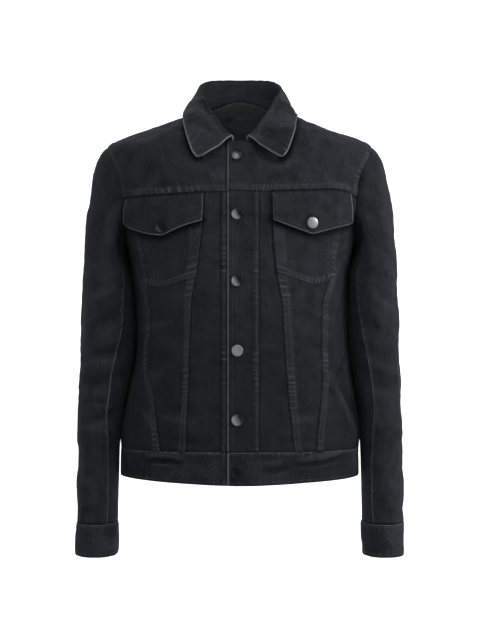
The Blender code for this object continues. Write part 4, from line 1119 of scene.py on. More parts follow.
def sleeveSurface(steps, drop, side):
    # points at counted steps round the armhole; drop runs from 0 at the armhole through 1 at the first ring
    # to 2 at the cuff; both are grids
    turns = turnAt(np.mod(steps, lastTurn))
    start, outward, _ = sleeveStart(turns, side)
    first = sleeve["height"][0]
    ring = sleeveRing(sleeveDegrees(np.mod(steps, lastTurn), first), first, side)
    down = np.linalg.norm(ring - start, axis=-1, keepdims=True)
    leanOut = (0.010 + 0.026 * (0.5 + 0.5 * np.cos(turns)))[..., None]
    t = np.clip(drop, 0, 1)[..., None]
    hold, meet = start + outward * leanOut, ring + np.array([0, 0, sleeveShape["capHold"]]) * down
    cap = (1 - t) ** 3 * start + 3 * t * (1 - t) ** 2 * hold + 3 * t * t * (1 - t) * meet + t**3 * ring
    heights = first + (cuff["top"] - first) * np.clip(drop - 1, 0, 1)
    degrees = np.empty_like(heights)
    for i in range(len(heights)):  # each line of the grid has one height
        degrees[i] = sleeveDegrees(np.mod(steps[i], lastTurn), heights[i, 0])
    tube = sleeveRing(degrees, heights, side)
    return np.where(drop[..., None] < 1, cap, tube)


def sleeveAt(degrees, height, side):
    # a point of the sleeve for placing creases: above the first ring it leans in to the shoulder
    if height < sleeve["height"][0]:
        return sleeveRing(np.array(float(degrees)), np.array(float(height)), side)
    first = sleeve["height"][0]
    known = sleeveDegrees(np.arange(lastTurn + 1), first)
    order = np.argsort(known)
    step = float(np.interp(degrees, known[order], np.arange(lastTurn + 1)[order]))
    drops = np.linspace(0, 1, 30)
    line = sleeveSurface(np.full((30, 1), step), drops[:, None], side)[:, 0]
    return line[np.argmin(np.abs(line[:, 2] - height))]


allCreases = creasePaths()
print("creases placed:", len(allCreases))


# ---- fronts

front = {
    "lap": 0.018,  # each front reaches that far past the centre
    "bandSeam": 0.027,
    "over": 0.0009,
    "under": 0.0015,
    "overEases": (0.027, 0.034),
    "underEases": (0.020, 0.0265),
    "edgeStitch": 0.0065,
    "seamStitch": 0.0025,
    "bandStep": 0.0030,
    "bandFell": 0.0060,
    "bandPucker": 0.00025,
}
pocket = {"thick": 0.0009, "footFell": 0.0085, "sideFell": 0.0180}
frontSeams = table(
    "height leftInner leftOuter rightInner rightOuter",
    (-0.511, 0.0820, 0.1140, 0.0820, 0.1200),
    (-0.456, 0.0757, 0.1193, 0.0797, 0.1270),
    (-0.417, 0.0715, 0.1240, 0.0784, 0.1330),
    (-0.391, 0.0692, 0.1243, 0.0775, 0.1414),
    (-0.367, 0.0677, 0.1238, 0.0765, 0.1417),
    (-0.332, 0.0655, 0.1224, 0.0752, 0.1360),
    (-0.284, 0.0623, 0.1245, 0.0730, 0.1388),
    (-0.245, 0.0550, 0.1366, 0.0660, 0.1434),
    (-0.206, 0.0510, 0.1383, 0.0605, 0.1480),
    (-0.170, 0.0490, 0.1440, 0.0563, 0.1545),
    (-0.120, 0.0490, 0.1470, 0.0550, 0.1560),
)
# how wide the seams between centre and mid panels are stitched down, from the waistband up
innerSeamWidths = {
    "left": (0.0100, 0.0105, 0.0110, 0.0112, 0.0110, 0.0105, 0.0140, 0.0185, 0.0195, 0.0195),
    "right": (0.0115, 0.0085, 0.0072, 0.0068, 0.0072, 0.0088, 0.0115, 0.0140, 0.0165, 0.0170),
}
yokeSeam = table(
    "reach left right",
    (-0.018, -0.1205, -0.1225),
    (0.045, -0.1222, -0.1232),
    (0.100, -0.1200, -0.1258),
    (0.160, -0.1196, -0.1280),
    (0.185, -0.1270, -0.1290),
)
# heights of the pocket's foot: inner end, point, outer end
pocketFoot = {"left": (-0.2420, -0.2615, -0.2525), "right": (-0.2480, -0.2650, -0.2590)}
pocketPoint = 0.667  # where the point lies across the pocket
tucked = {"start": "under", "end": "under", "top": "under", "bottom": "under"}


def frontLap(x, side):
    proud = front["over"] if side > 0 else -front["under"]
    near, far = front["overEases"] if side > 0 else front["underEases"]
    return proud * ease((far - side * x) / (far - near))


def bodyPlacer(side=0, extra=0.0):
    # turns places into points, normals and the direction through the wall
    def place(places):
        points, normal = bodyAt(places), bodyNormal(places[..., 0], places[..., 1])
        if side:
            points = points + normal * (frontLap(points[..., 0], side))[..., None]
        return points + normal * extra, normal, -normal

    return place


def yokeHeight(word, reach):
    return smooth(yokeSeam["reach"], yokeSeam[word], reach)


def seamLine(word, column, low, high):
    heights = np.linspace(low, high, 81)
    reach = smooth(frontSeams["height"], frontSeams[word + column], heights)
    return bodyPlace(sides[word] * reach, heights)


def yokeLine(word, first, last):
    reach = np.linspace(first, last, 41)
    return bodyPlace(sides[word] * reach, yokeHeight(word, reach))


def resampled(parts, shares):
    # several lines joined end to end, each given its share of the whole
    stops = np.concatenate([[0], np.cumsum(shares) / sum(shares)])
    at = np.unique(np.concatenate([np.linspace(0, 1, 121), stops]))
    out = []
    for t in at:
        k = min(np.searchsorted(stops, t, side="right") - 1, len(parts) - 1)
        out.append(readEdge(parts[k], (t - stops[k]) / (stops[k + 1] - stops[k])))
    return readLine(np.linspace(0, 1, 241), at, np.array(out))


def setArmholeDepth(panel, edge, first, last, side):
    # at the armhole the body's wall and the sleeve's share the direction through the cloth
    line = lines[edge]
    places = panel.points[line]
    start, _, depth = sleeveStart(turnAt(np.linspace(first, last, 400)), side)
    nearest = np.argmin(np.linalg.norm(places[:, None] - start[None], axis=-1), 1)
    close = np.linalg.norm(places - start[nearest], axis=-1) < 0.002
    panel.through[line][close] = depth[nearest][close]


def makeFront(word):
    side = sides[word]
    low, lap, bandSeam = bandTopHeight, front["lap"], front["bandSeam"]
    innerTop, outerTop = frontSeams[word + "Inner"][-1], frontSeams[word + "Outer"][-1]
    innerFoot, point, outerFoot = pocketFoot[word]
    edge, band = (
        bodyPlace(side * reach, np.linspace(low, yokeHeight(word, reach), 81)) for reach in (-lap, bandSeam)
    )
    inner = seamLine(word, "Inner", low, yokeHeight(word, innerTop))
    outer = seamLine(word, "Outer", low, yokeHeight(word, outerTop))
    sideSeam = along((side * math.pi / 2, bandTop), (side * math.pi / 2, underarm), 80)
    arm = armRun(frontYokeTurn, underarmTurn, side)
    yokeEnd = along(outer[-1], arm[0], 10)
    bandTopLine = yokeLine(word, -lap, bandSeam)
    centreTop, midTop = yokeLine(word, bandSeam, innerTop), yokeLine(word, innerTop, outerTop)

    bandFoot = bodyPlace(side * np.linspace(-lap, bandSeam, 41), low)
    panel = Panel(f"band_{word}", f"front_band_{word}", (bandFoot, bandTopLine, edge, band),
                  dict(tucked, start="free", end="over"), bodyPlacer(side), cloth["double"],
                  front["bandStep"], {"end": front["bandFell"]})
    sewPanel(panel, puckerHeight=front["bandPucker"])
    if side > 0:
        stitchAlong("stitches_front", panel, "start", front["edgeStitch"])
        stitchAlong("stitches_front", panel, "end", front["seamStitch"])

    panel = Panel(f"centre_{word}", f"front_centre_{word}",
                  (along(band[0], inner[0], 20), centreTop, band, inner), tucked, bodyPlacer())
    sewPanel(panel)

    panel = Panel(f"mid_{word}", f"front_mid_{word}", (along(inner[0], outer[0], 20), midTop, inner, outer),
                  dict(tucked, start="over"), bodyPlacer(), widths={"start": innerSeamWidths[word]})
    sewPanel(panel, "stitches_front", ["start"])

    sideTop = resampled([yokeEnd, arm], [2, 5])
    panel = Panel(f"side_{word}", f"front_side_{word}",
                  (along(outer[0], sideSeam[0], 20), sideTop, outer, sideSeam),
                  dict(tucked, start="over"), bodyPlacer())
    setArmholeDepth(panel, "top", frontYokeTurn, underarmTurn, side)
    sewPanel(panel, "stitches_front", ["start"])

    # yoke
    neckBand = np.array([math.atan2(x, body["front"][-1]) for x in np.linspace(-lap, bandSeam, 21)]) * side
    neckTurns = np.concatenate([neckBand, np.linspace(neckBand[-1], side * math.pi / 2, 61)[1:]])
    neck = np.stack([neckTurns, np.full_like(neckTurns, neckLevel)], -1)
    shoulder = along(neck[-1], armRun(0, 0, side, 1)[0], 40)
    yokeFoot = resampled([bandTopLine, centreTop, midTop, yokeEnd], [4, 3, 6, 2])
    edgeHeights = np.linspace(yokeHeight(word, -lap), body["zFront"][-1] - 0.001, 41)
    yokeEdge = bodyPlace(side * -lap, edgeHeights)
    yokeEdge[-1] = neck[0]
    panel = Panel(f"yoke_{word}", f"front_yoke_{word}",
                  (yokeFoot, resampled([neck, shoulder], [11, 4]), yokeEdge, armRun(frontYokeTurn, 0, side)),
                  {"bottom": "over", "start": "free", "end": "over", "top": "plain"}, bodyPlacer(side))
    setArmholeDepth(panel, "end", frontYokeTurn, 0, side)
    sewPanel(panel, "stitches_front", ["bottom", "end"])
    if side > 0:
        stitchAlong("stitches_front", panel, "start", front["edgeStitch"])

    # pocket: a patch on the mid panel, with a pointed foot
    reachIn = smooth(frontSeams["height"], frontSeams[word + "Inner"], innerFoot)
    reachOut = smooth(frontSeams["height"], frontSeams[word + "Outer"], outerFoot)
    s = np.linspace(0, 1, 61)
    footHeights = np.interp(s, [0, pocketPoint, 1], [innerFoot, point, outerFoot])
    footHeights = footHeights + 0.0016 * bump((s - pocketPoint) / 0.05)
    pocketLow = bodyPlace(side * (reachIn + (reachOut - reachIn) * s), footHeights)
    pocketIn = seamLine(word, "Inner", innerFoot, yokeHeight(word, innerTop))
    pocketOut = seamLine(word, "Outer", outerFoot, yokeHeight(word, outerTop))
    panel = Panel(f"pocket_{word}", f"pocket_{word}", (pocketLow, midTop, pocketIn, pocketOut),
                  {"bottom": "over", "start": "over", "end": "plain", "top": "under"},
                  bodyPlacer(extra=pocket["thick"]), pocket["thick"],
                  widths={"bottom": pocket["footFell"], "start": pocket["sideFell"]})
    sewPanel(panel, "stitches_front", ["bottom"])


for word in sides:
    makeFront(word)
print("fronts done")


# ---- pocket flaps

flaps = table(
    "side topInner topOuter footInner point footOuter innerHeight pointHeight outerHeight bowInner bowOuter",
    (1, 0.0480, 0.1650, 0.0490, 0.1055, 0.1665, -0.1655, -0.1855, -0.1665, 0.0, 0.0),
    (-1, 0.0545, 0.1705, 0.0560, 0.1130, 0.1715, -0.1665, -0.1872, -0.1680, -0.0025, 0.0040),
)
flapShape = {"top": 0.0010, "foot": 0.0052, "fall": 0.0012, "stitch": 0.0055, "startWear": (0.62, 0.0013),
             "footWear": (0.90, 0.0015)}


def makeFlap(word):
    side = sides[word]
    flap = {name: values[list(sides).index(word)] for name, values in flaps.items()}
    s = np.linspace(0, 1, 61)
    topX = flap["topInner"] + (flap["topOuter"] - flap["topInner"]) * s
    footX = np.interp(s, [0, 0.5, 1], [flap["footInner"], flap["point"], flap["footOuter"]])
    footZ = np.interp(s, [0, 0.5, 1], [flap["innerHeight"], flap["pointHeight"], flap["outerHeight"]])
    footZ = footZ - np.where(s < 0.5, flap["bowInner"], flap["bowOuter"]) * np.abs(np.sin(2 * math.pi * s))
    footZ = footZ + 0.0007 * bump((s - 0.5) / 0.02)
    footZ = footZ + 0.0012 * (bump(s / 0.018) + bump((1 - s) / 0.018))
    top = bodyPlace(side * topX, yokeHeight(word, topX) - flapShape["fall"])
    foot = bodyPlace(side * footX, footZ)
    panel = Panel(f"flap_{word}", f"pocket_flap_{word}",
                  (foot, top, along(foot[0], top[0], 30), along(foot[-1], top[-1], 30)),
                  {"bottom": "free", "start": "free", "end": "free", "top": "under"}, bodyPlacer(),
                  step=0.0022)
    t = np.clip(panel.gaps["top"] / (panel.gaps["top"] + panel.gaps["bottom"]), 0, 1)
    rise = flapShape["top"] + (flapShape["foot"] - flapShape["top"]) * np.sqrt(t) + cloth["single"]
    nearest = np.minimum(np.minimum(panel.gaps["start"], panel.gaps["end"]), panel.gaps["bottom"])
    ridge = 0.0005 * bump((nearest - 0.0035) / 0.0025) - 0.0002 * bump((nearest - 0.0062) / 0.0012)
    run = panel.runs["bottom"] + panel.gaps["bottom"] * 0.6
    panel.lift = rise + ridge + 0.0003 * puckers(run, 3.0 * side) * bump((nearest - 0.004) / 0.006)
    panel.wear = {"start": flapShape["startWear"], "bottom": flapShape["footWear"]}
    panel.felled = 0.5 * (1 - ease((nearest - 0.0055) / 0.003))
    sewPanel(panel, folds=0.6)
    for edge in ("bottom", "start", "end"):
        stitchAlong("stitches_flaps", panel, edge, flapShape["stitch"])
    return panel


def paintShadowUnder(names, line, reach, groove=0.0):
    # painted shadow: cloth just under an edge that stands off it is made dark, and gives way a little
    for name in names:
        mesh = pieces[name].data
        places = np.empty(len(mesh.vertices) * 3, np.float32)
        mesh.vertices.foreach_get("co", places)
        places = places.reshape(-1, 3)
        points = places[:, [0, 2]]
        away = np.full(len(points), 1.0)
        for k in range(len(line) - 1):
            start, run = line[k][[0, 2]], (line[k + 1] - line[k])[[0, 2]]
            t = np.clip((points - start) @ run / (run @ run), 0, 1)
            away = np.minimum(away, np.linalg.norm(points - start - t[:, None] * run, axis=1))
        under = np.empty(len(points), np.float32)
        mesh.attributes["underGap"].data.foreach_get("value", under)
        under = np.minimum(under, away * shadowReach / reach)
        mesh.attributes["underGap"].data.foreach_set("value", under.astype(np.float32))
        clear = ease((np.abs(places[:, 0]) - 0.030) / 0.010)
        places[:, 1] += groove * clear * bump(away / 0.0045)
        mesh.vertices.foreach_set("co", places.ravel())
        mesh.update()


# painted shadow below each flap's foot, with a shallow groove
for word, flap in [(word, makeFlap(word)) for word in sides]:
    footLine = flap.outer[0] - np.array([0, 0, 0.0010])
    paintShadowUnder([f"{part}_{word}" for part in ("pocket", "centre", "mid", "side")], footLine,
                reach=0.0135, groove=0.0016)
print("flaps done")


# ---- back

backSeams = table(
    "height reach", (-0.511, 0.0480), (-0.400, 0.0560), (-0.300, 0.0650), (-0.200, 0.0760), (-0.085, 0.0880)
)


def mirrorPlaces(places):
    return places * np.array([-1.0, 1.0]) + np.array([2 * math.pi, 0])


def makeBack():
    heights = np.linspace(bandTopHeight, backYokeHeight, 81)
    seam = bodyPlace(smooth(backSeams["height"], backSeams["reach"], heights), heights, -1)
    arm = armRun(underarmTurn, backYokeTurn, 1)
    yokeSide = along(seam[-1], arm[-1], 12)
    centreX = np.linspace(bodyPoint(*seam[-1])[0], 0, 41)
    yokeCentre = bodyPlace(centreX, backYokeHeight, -1)
    yokeCentre[0] = seam[-1]
    sideSeam = along((math.pi / 2, bandTop), (math.pi / 2, underarm), 80)
    for word, side in sides.items():
        edges = (along(seam[0], sideSeam[0], 30), resampled([yokeSide, arm[::-1]], [3, 5]), seam, sideSeam)
        edges = [line * np.array([side, 1.0]) for line in edges]
        panel = Panel(f"backSide_{word}", f"back_side_{word}", edges, dict(tucked, end="over"), bodyPlacer())
        setArmholeDepth(panel, "top", underarmTurn, backYokeTurn, side)
        sewPanel(panel, "stitches_back", ["end"])
    foot, top = (
        np.concatenate([half, mirrorPlaces(half[:-1][::-1])])
        for half in (along(seam[0], (math.pi, bandTop), 30), yokeCentre)
    )
    panel = Panel("backCentre", "back_centre", (foot, top, seam, mirrorPlaces(seam)),
                  dict(tucked, start="over", end="over"), bodyPlacer())
    sewPanel(panel, "stitches_back", ["start", "end"])

    shoulder = along(armRun(0, 0, 1, 1)[0], (math.pi / 2, neckLevel), 40)
    neck = along((math.pi / 2, neckLevel), (math.pi, neckLevel), 60)
    topParts = [shoulder, neck, mirrorPlaces(neck[::-1]), mirrorPlaces(shoulder[::-1])]
    footParts = [yokeSide[::-1], yokeCentre, mirrorPlaces(yokeCentre[::-1]), mirrorPlaces(yokeSide)]
    top, foot = resampled(topParts, [4, 5, 5, 4]), resampled(footParts, [3, 6, 6, 3])
    armLeft = armRun(backYokeTurn, lastTurn, 1)
    panel = Panel("backYoke", "back_yoke", (foot, top, armLeft, mirrorPlaces(armLeft)),
                  {"bottom": "over", "start": "over", "end": "over", "top": "plain"}, bodyPlacer())
    setArmholeDepth(panel, "start", backYokeTurn, lastTurn, 1)
    setArmholeDepth(panel, "end", backYokeTurn, lastTurn, -1)
    sewPanel(panel, "stitches_back", ["bottom", "start", "end"])
    # painted shadow on the back yoke just below the neck
    neckRow = panel.outer[-1]
    neckRow = neckRow[(np.abs(neckRow[:, 0]) < 0.078) & (neckRow[:, 1] > -0.01)]
    paintShadowUnder(["backYoke"], neckRow, reach=0.0024)


makeBack()
print("back done")


# ---- sleeves and cuffs


sleeveSewing = {"endWidth": 0.0040, "endStitch": 0.0016, "endWear": (0.84, 0.0021)}


def sleevePlacer(side):
    def place(places):
        # rows come from the cuff up to the armhole
        steps, drop = places[..., 0], places[..., 1]
        drop = np.broadcast_to(drop[:, :1], drop.shape)
        small = 1e-3
        aside = sleeveSurface(steps + small, drop, side) - sleeveSurface(steps - small, drop, side)
        low = sleeveSurface(steps, np.clip(drop + small, 0, 2), side)
        high = sleeveSurface(steps, np.clip(drop - small, 0, 2), side)
        normal = unit(np.cross(aside, low - high)) * side
        shared = sleeveStart(turnAt(np.mod(steps, lastTurn)), side)[2]
        return sleeveSurface(steps, drop, side), normal, np.where(drop[..., None] <= 1e-9, shared, -normal)

    return place


def makeSleeve(word):
    for part, first, last, role in (
        ("Upper", backYokeTurn, lastTurn + sleeveFrontTurn, "over"),
        ("Under", sleeveFrontTurn, backYokeTurn, "under"),
    ):
        # places are (counted step, drop)
        edges = (along((first, 2), (last, 2), 1), along((first, 0), (last, 0), 1),
                 along((first, 2), (first, 0), 1), along((last, 2), (last, 0), 1))
        panel = Panel(f"sleeve{part}_{word}", f"sleeve_{part.lower()}_{word}", edges,
                      dict(tucked, start=role, end=role), sleevePlacer(sides[word]),
                      widths={"end": sleeveSewing["endWidth"]})
        panel.wear = {"end": sleeveSewing["endWear"]}
        if part == "Upper":
            sewPanel(panel, "stitches_sleeves", ["start"])
            stitchAlong("stitches_sleeves", panel, "end", sleeveSewing["endStitch"])
        else:
            sewPanel(panel)


bandRows = {"top": 0.0030, "foot": 0.0045}  # how far a doubled band's stitches lie from its edges


def bandWear(gapTop, gapBottom):
    # the seam at the top is rubbed light, the folded edge below a little less
    return np.maximum(0.66 * (1 - ease(gapTop / 0.0026)), 0.42 * (1 - ease(gapBottom / 0.0036)))


def bandProfile(gapTop, gapBottom, run, seed):
    # a doubled band: pillowed between its edges, pinched where it is stitched
    lift = 0.0005 * (ease(gapTop / 0.004) * ease(gapBottom / 0.004))
    pinch = bump((gapTop - bandRows["top"]) / 0.0009) + bump((gapBottom - bandRows["foot"]) / 0.0009)
    lift = lift - 0.00025 * pinch
    gathers = bump((gapTop - 0.004) / 0.007) + 0.7 * bump((gapBottom - 0.005) / 0.008)
    return lift + 0.0004 * puckers(run, seed) * gathers


def bandFloats(nearer, run, seed, **others):
    wave = puckers(run, seed) * bump((nearer - 0.004) / 0.007)
    felled = 0.3 * (1 - ease((nearer - 0.005) / 0.004))
    floats = {"edgeGap": nearer, "edgeRun": run, "underGap": np.ones_like(run)}
    return {**floats, "felled": felled, "wave": wave, **others}


def bandDepths(near, tall):
    # rows down a doubled band, close together by both of its edges
    near = np.array(near)
    middle = np.linspace(near[-1], tall - near[-1], 11)[1:-1]
    return np.concatenate([[0], near, middle, tall - near[::-1], [tall]])


def bandStitches(group, outer, normal, depths, order):
    # a row by the top and one by the foot; order picks the points of each
    for depth in (bandRows["top"], depths[-1] - bandRows["foot"]):
        row = np.interp(depth, depths, np.arange(len(depths)))
        k = int(row)
        line = outer[k] * (k + 1 - row) + outer[k + 1] * (row - k)
        stitchRows.append((group, line[order], normal[k][order]))


def closedNormal(grid, side):
    around = np.roll(grid, -1, 1) - np.roll(grid, 1, 1)
    return unit(np.cross(around, np.gradient(grid, axis=0))) * side


def makeCuff(word):
    side = sides[word]
    tall = cuff["top"] - cuff["end"]
    depths = bandDepths(cuff["rows"], tall)
    degrees = np.arange(0, 360, 360 / cuff["around"])
    grid = np.array([sleeveRing(degrees, cuff["top"] - d, side, cuff["proud"]) for d in depths])
    normal = closedNormal(grid, side)
    run = np.broadcast_to(np.radians(degrees)[None] * cuff["radius"], grid.shape[:2])
    gapTop = np.broadcast_to(depths[:, None], grid.shape[:2])
    lift = bandProfile(gapTop, tall - gapTop, run, 5.0 + side) + rippleLift(grid) * 0.8
    outer = grid + normal * lift[..., None]
    floats = bandFloats(np.minimum(gapTop, tall - gapTop), run, 5.0 + side, ridge=lift / fullCrest,
                        wear=bandWear(gapTop, tall - gapTop), hollow=np.full_like(run, cuff[word + "PaintedShade"]))
    uv = np.stack([run, gapTop], -1)
    thing = wall(f"cuff_{word}", outer, -normal * cloth["double"], uv, floats, closed=True)
    addPiece(thing, crossDenim, f"cuff_{word}")
    ringOrder = np.append(np.arange(len(degrees)), 0)
    bandStitches("stitches_sleeves", outer, normal, depths, ringOrder)
    # one row on the sleeve just above the cuff
    ring = sleeveRing(degrees, cuff["top"] + 0.0062, side)
    out = closedNormal(np.array([ring, sleeveRing(degrees, cuff["top"] + 0.0042, side)]), side)[0]
    stitchRows.append(("stitches_sleeves", (ring + out * 0.0004)[ringOrder], out[ringOrder]))


for word in sides:
    makeSleeve(word)
    makeCuff(word)
print("sleeves done")


# ---- waistband

waistband = {"over": 0.0003, "under": 0.0002, "proud": 0.0004, "tall": 0.0485,
             "rows": (0.0005, 0.0013, 0.0024, 0.0036, 0.0052, 0.0085)}


def makeWaistband():
    start = math.atan2(-front["lap"], body["front"][0])
    angles = np.linspace(start, 2 * math.pi - start, 361)
    tall = waistband["tall"]
    depths = bandDepths(waistband["rows"], tall)
    level = (1 - depths / tall)[:, None]
    points, normal = bodyPoint(angles[None], level), bodyNormal(angles[None], level)
    over = frontLap(points[..., 0], 1) + waistband["over"]
    under = frontLap(points[..., 0], -1) - waistband["under"]
    plain = ease((np.abs(np.sin(angles / 2)) - 0.10) / 0.10)
    base = np.where(angles < math.pi, over, under) * (1 - plain) + waistband["proud"] * plain
    run = np.broadcast_to(runLengths(points[0])[None], points.shape[:2])
    gapTop = np.broadcast_to(depths[:, None], points.shape[:2])
    crease = creaseLift(points, allCreases)
    lift = bandProfile(gapTop, tall - gapTop, run, 2.0) + rippleLift(points) * 0.6 + crease
    atEnds = np.minimum(run, run[:, -1:] - run)
    lift = lift * ease(atEnds / 0.003)
    outer = points + normal * (base + lift + bigFoldLift(points) * 0.4)[..., None]
    wear = np.maximum(bandWear(gapTop, tall - gapTop), 1 - ease(atEnds / 0.0045))
    # painted shade: the whole band darkened, deeper in its crease troughs
    ridge, hollow = np.clip(lift / fullCrest, -1, 1), np.clip(0.72 - crease / fullCrest, 0, 1)
    nearer = np.minimum(np.minimum(gapTop, tall - gapTop), atEnds)
    floats = bandFloats(nearer, run, 2.0, wear=wear, ridge=ridge, hollow=hollow)
    uv = np.stack([run, gapTop], -1)
    thing = addPiece(wall("waistband", outer, -normal * cloth["double"], uv, floats), crossDenim, "waistband")
    bandStitches("stitches_bands", outer, normal, depths, slice(2, -2))


makeWaistband()
print("waistband done")


# ---- collar

collar = table(
    "degrees foldRadius foldHeight edgeX edgeY edgeZ",
    (6.5, 0.0926, -0.0385, 0.0630, -0.1090, -0.0735),
    (13.7, 0.0823, -0.0298, 0.0700, -0.1060, -0.0640),
    (25, 0.0717, -0.0127, 0.0775, -0.0960, -0.0450),
    (42, 0.0620, 0.0050, 0.0840, -0.0720, -0.0220),
    (60, 0.0580, 0.0225, 0.0865, -0.0420, -0.0040),
    (90, 0.0600, 0.0400, 0.0862, 0.0050, 0.0090),
    (112, 0.0680, 0.0540, 0.0822, 0.0390, 0.0110),
    (136, 0.0700, 0.0670, 0.0630, 0.0710, 0.0130),
    (158, 0.0680, 0.0705, 0.0340, 0.0860, 0.0150),
    (180, 0.0665, 0.0712, 0.0000, 0.0900, 0.0155),
)
collarShape = {
    "seatGap": 0.0006,
    "roll": 0.005,
    "bulge": 0.004,
    "endBow": 0.0045,
    "bowShare": 3.5,  # the bow is gone at this part of the way to the back
    "stations": 84,
    "across": 44,
    "near": (0.0006, 0.0014, 0.0026, 0.0040, 0.0056, 0.0072),
    "leftTip": 0.0065,  # how round the leaves' corners are
    "rightTip": 0.0105,
    "stitch": 0.0062,
    "neckStitch": 0.0345,
}


def collarHalf(side):
    degrees = collar["degrees"]
    t = np.linspace(0, 1, collarShape["stations"] + 1)
    at = degrees[0] + (degrees[-1] - degrees[0]) * (0.35 * t + 0.65 * t**1.6)
    radius, foldHeight = smooth(degrees, collar["foldRadius"], at), smooth(degrees, collar["foldHeight"], at)
    turn = np.radians(at)
    flip = np.array([side, 1, 1])
    fold = np.stack([radius * np.sin(turn), -radius * np.cos(turn), foldHeight], -1)
    edge = np.stack([smooth(degrees, collar[name], at) for name in ("edgeX", "edgeY", "edgeZ")], -1)
    neck = bodyPoint(turn, np.full_like(turn, neckLevel))
    onward = unit(neck - bodyPoint(turn, np.full_like(turn, neckLevel - 0.05)))
    neck, onward, fold, edge = neck * flip, onward * flip, fold * flip, edge * flip
    away = unit(np.array([1, 1, 0]) * (edge - fold))
    lean = np.linalg.norm(np.cross(unit(fold - neck), onward), axis=-1, keepdims=True)
    seat = neck + onward * (collarShape["seatGap"] + cloth["double"] / 2 * lean)
    height = np.linalg.norm(fold - seat, axis=-1, keepdims=True)
    roll = collarShape["roll"]
    shoulder = fold - unit(fold - seat) * np.minimum(roll, height * 0.4)
    fall = fold + away * roll * 1.1 - np.array([0, 0, roll * 0.9]) * np.minimum(height / (4 * roll), 1)
    backwards = unit(np.gradient((fall + edge) / 2, axis=0))
    outwards = unit(np.cross(edge - fall, backwards))
    outwards = outwards * np.sign(np.sum(outwards * away, -1, keepdims=True))
    forwards = unit(np.cross(outwards, edge - fall))
    forwards = forwards * -np.sign(np.sum(forwards * backwards, -1, keepdims=True))
    nearEnd = np.clip(1 - t * collarShape["bowShare"], 0, 1)[:, None] ** 1.5
    bow = outwards * collarShape["bulge"] + forwards * collarShape["endBow"] * nearEnd
    line = [seat, seat + (shoulder - seat) * 0.5, shoulder, fold + away * roll * 0.36, fall]
    for share in (0.33, 0.67, 1.0):
        line.append(fall + (edge - fall) * share + bow * math.sin(math.pi * share))
    return np.array(line)


def roundedTips(grid, gapEdge, gapEnd):
    # the leaves' corners are drawn in to a curve
    back = grid[1:-1] - grid[2:]
    inwards = unit(np.concatenate([back[:1], back, back[-2:-1]]))
    onward = np.gradient(grid, axis=1)
    onward[:, grid.shape[1] // 2 :] *= -1
    onward = unit(onward)
    radius = np.where(grid[..., 0] > 0, collarShape["leftTip"], collarShape["rightTip"])
    a, b = np.clip(radius - gapEdge, 0, None), np.clip(radius - gapEnd, 0, None)
    away = np.hypot(a, b)
    pull = np.where((a > 0) & (b > 0), np.clip(1 - radius / np.maximum(away, 1e-9), 0, None), 0)
    return grid + inwards * (a * pull)[..., None] + onward * (b * pull)[..., None]


def tipWear(gap):
    return np.clip(1.3 * (1 - ease(gap / 0.0030)), 0, 0.84)


def collarStitches(outer, normal, gapEdge, fromEnd):
    # round the leaf, and inside, along the seam that joins the stand to the neck
    gap, neckStitch, rows = collarShape["stitch"], collarShape["neckStitch"], len(outer)
    path, facing = [], []
    for k in range(outer.shape[1]):
        if min(fromEnd[-1, k], fromEnd[-1, -1] - fromEnd[-1, k]) >= gap:
            row = np.interp(-gap, -gapEdge[:, k], np.arange(rows))
            j = min(int(row), rows - 2)
            path.append(outer[j, k] * (j + 1 - row) + outer[j + 1, k] * (row - j))
            facing.append(normal[j, k])
    stitchRows.append(("stitches_collar", np.array(path), np.array(facing)))
    leafRows = [j for j in range(rows) if gap < gapEdge[j, 0] < 0.052]
    for order in (1, -1):
        reach = fromEnd if order > 0 else fromEnd[:, -1:] - fromEnd
        path, facing = (
            np.array([readLine(gap, reach[j, ::order], field[j, ::order]) for j in leafRows])
            for field in (outer, normal)
        )
        stitchRows.append(("stitches_collar", path, unit(facing)))
    inner = outer - normal * cloth["double"]
    path, facing = [], []
    for k in range(outer.shape[1]):
        stand = inner[:14, k]
        if abs(stand[0, 0]) < 0.060 and stand[0, 1] > 0 and stand[0, 2] < neckStitch < stand[-1, 2]:
            row = np.interp(neckStitch, stand[:, 2], np.arange(len(stand)))
            path.append(readLine(row, np.arange(len(stand)), stand))
            facing.append(-normal[int(row), k])
    facing = np.array(facing)
    stitchRows.append(("stitches_collar", np.array(path) + facing * 0.0002, facing))


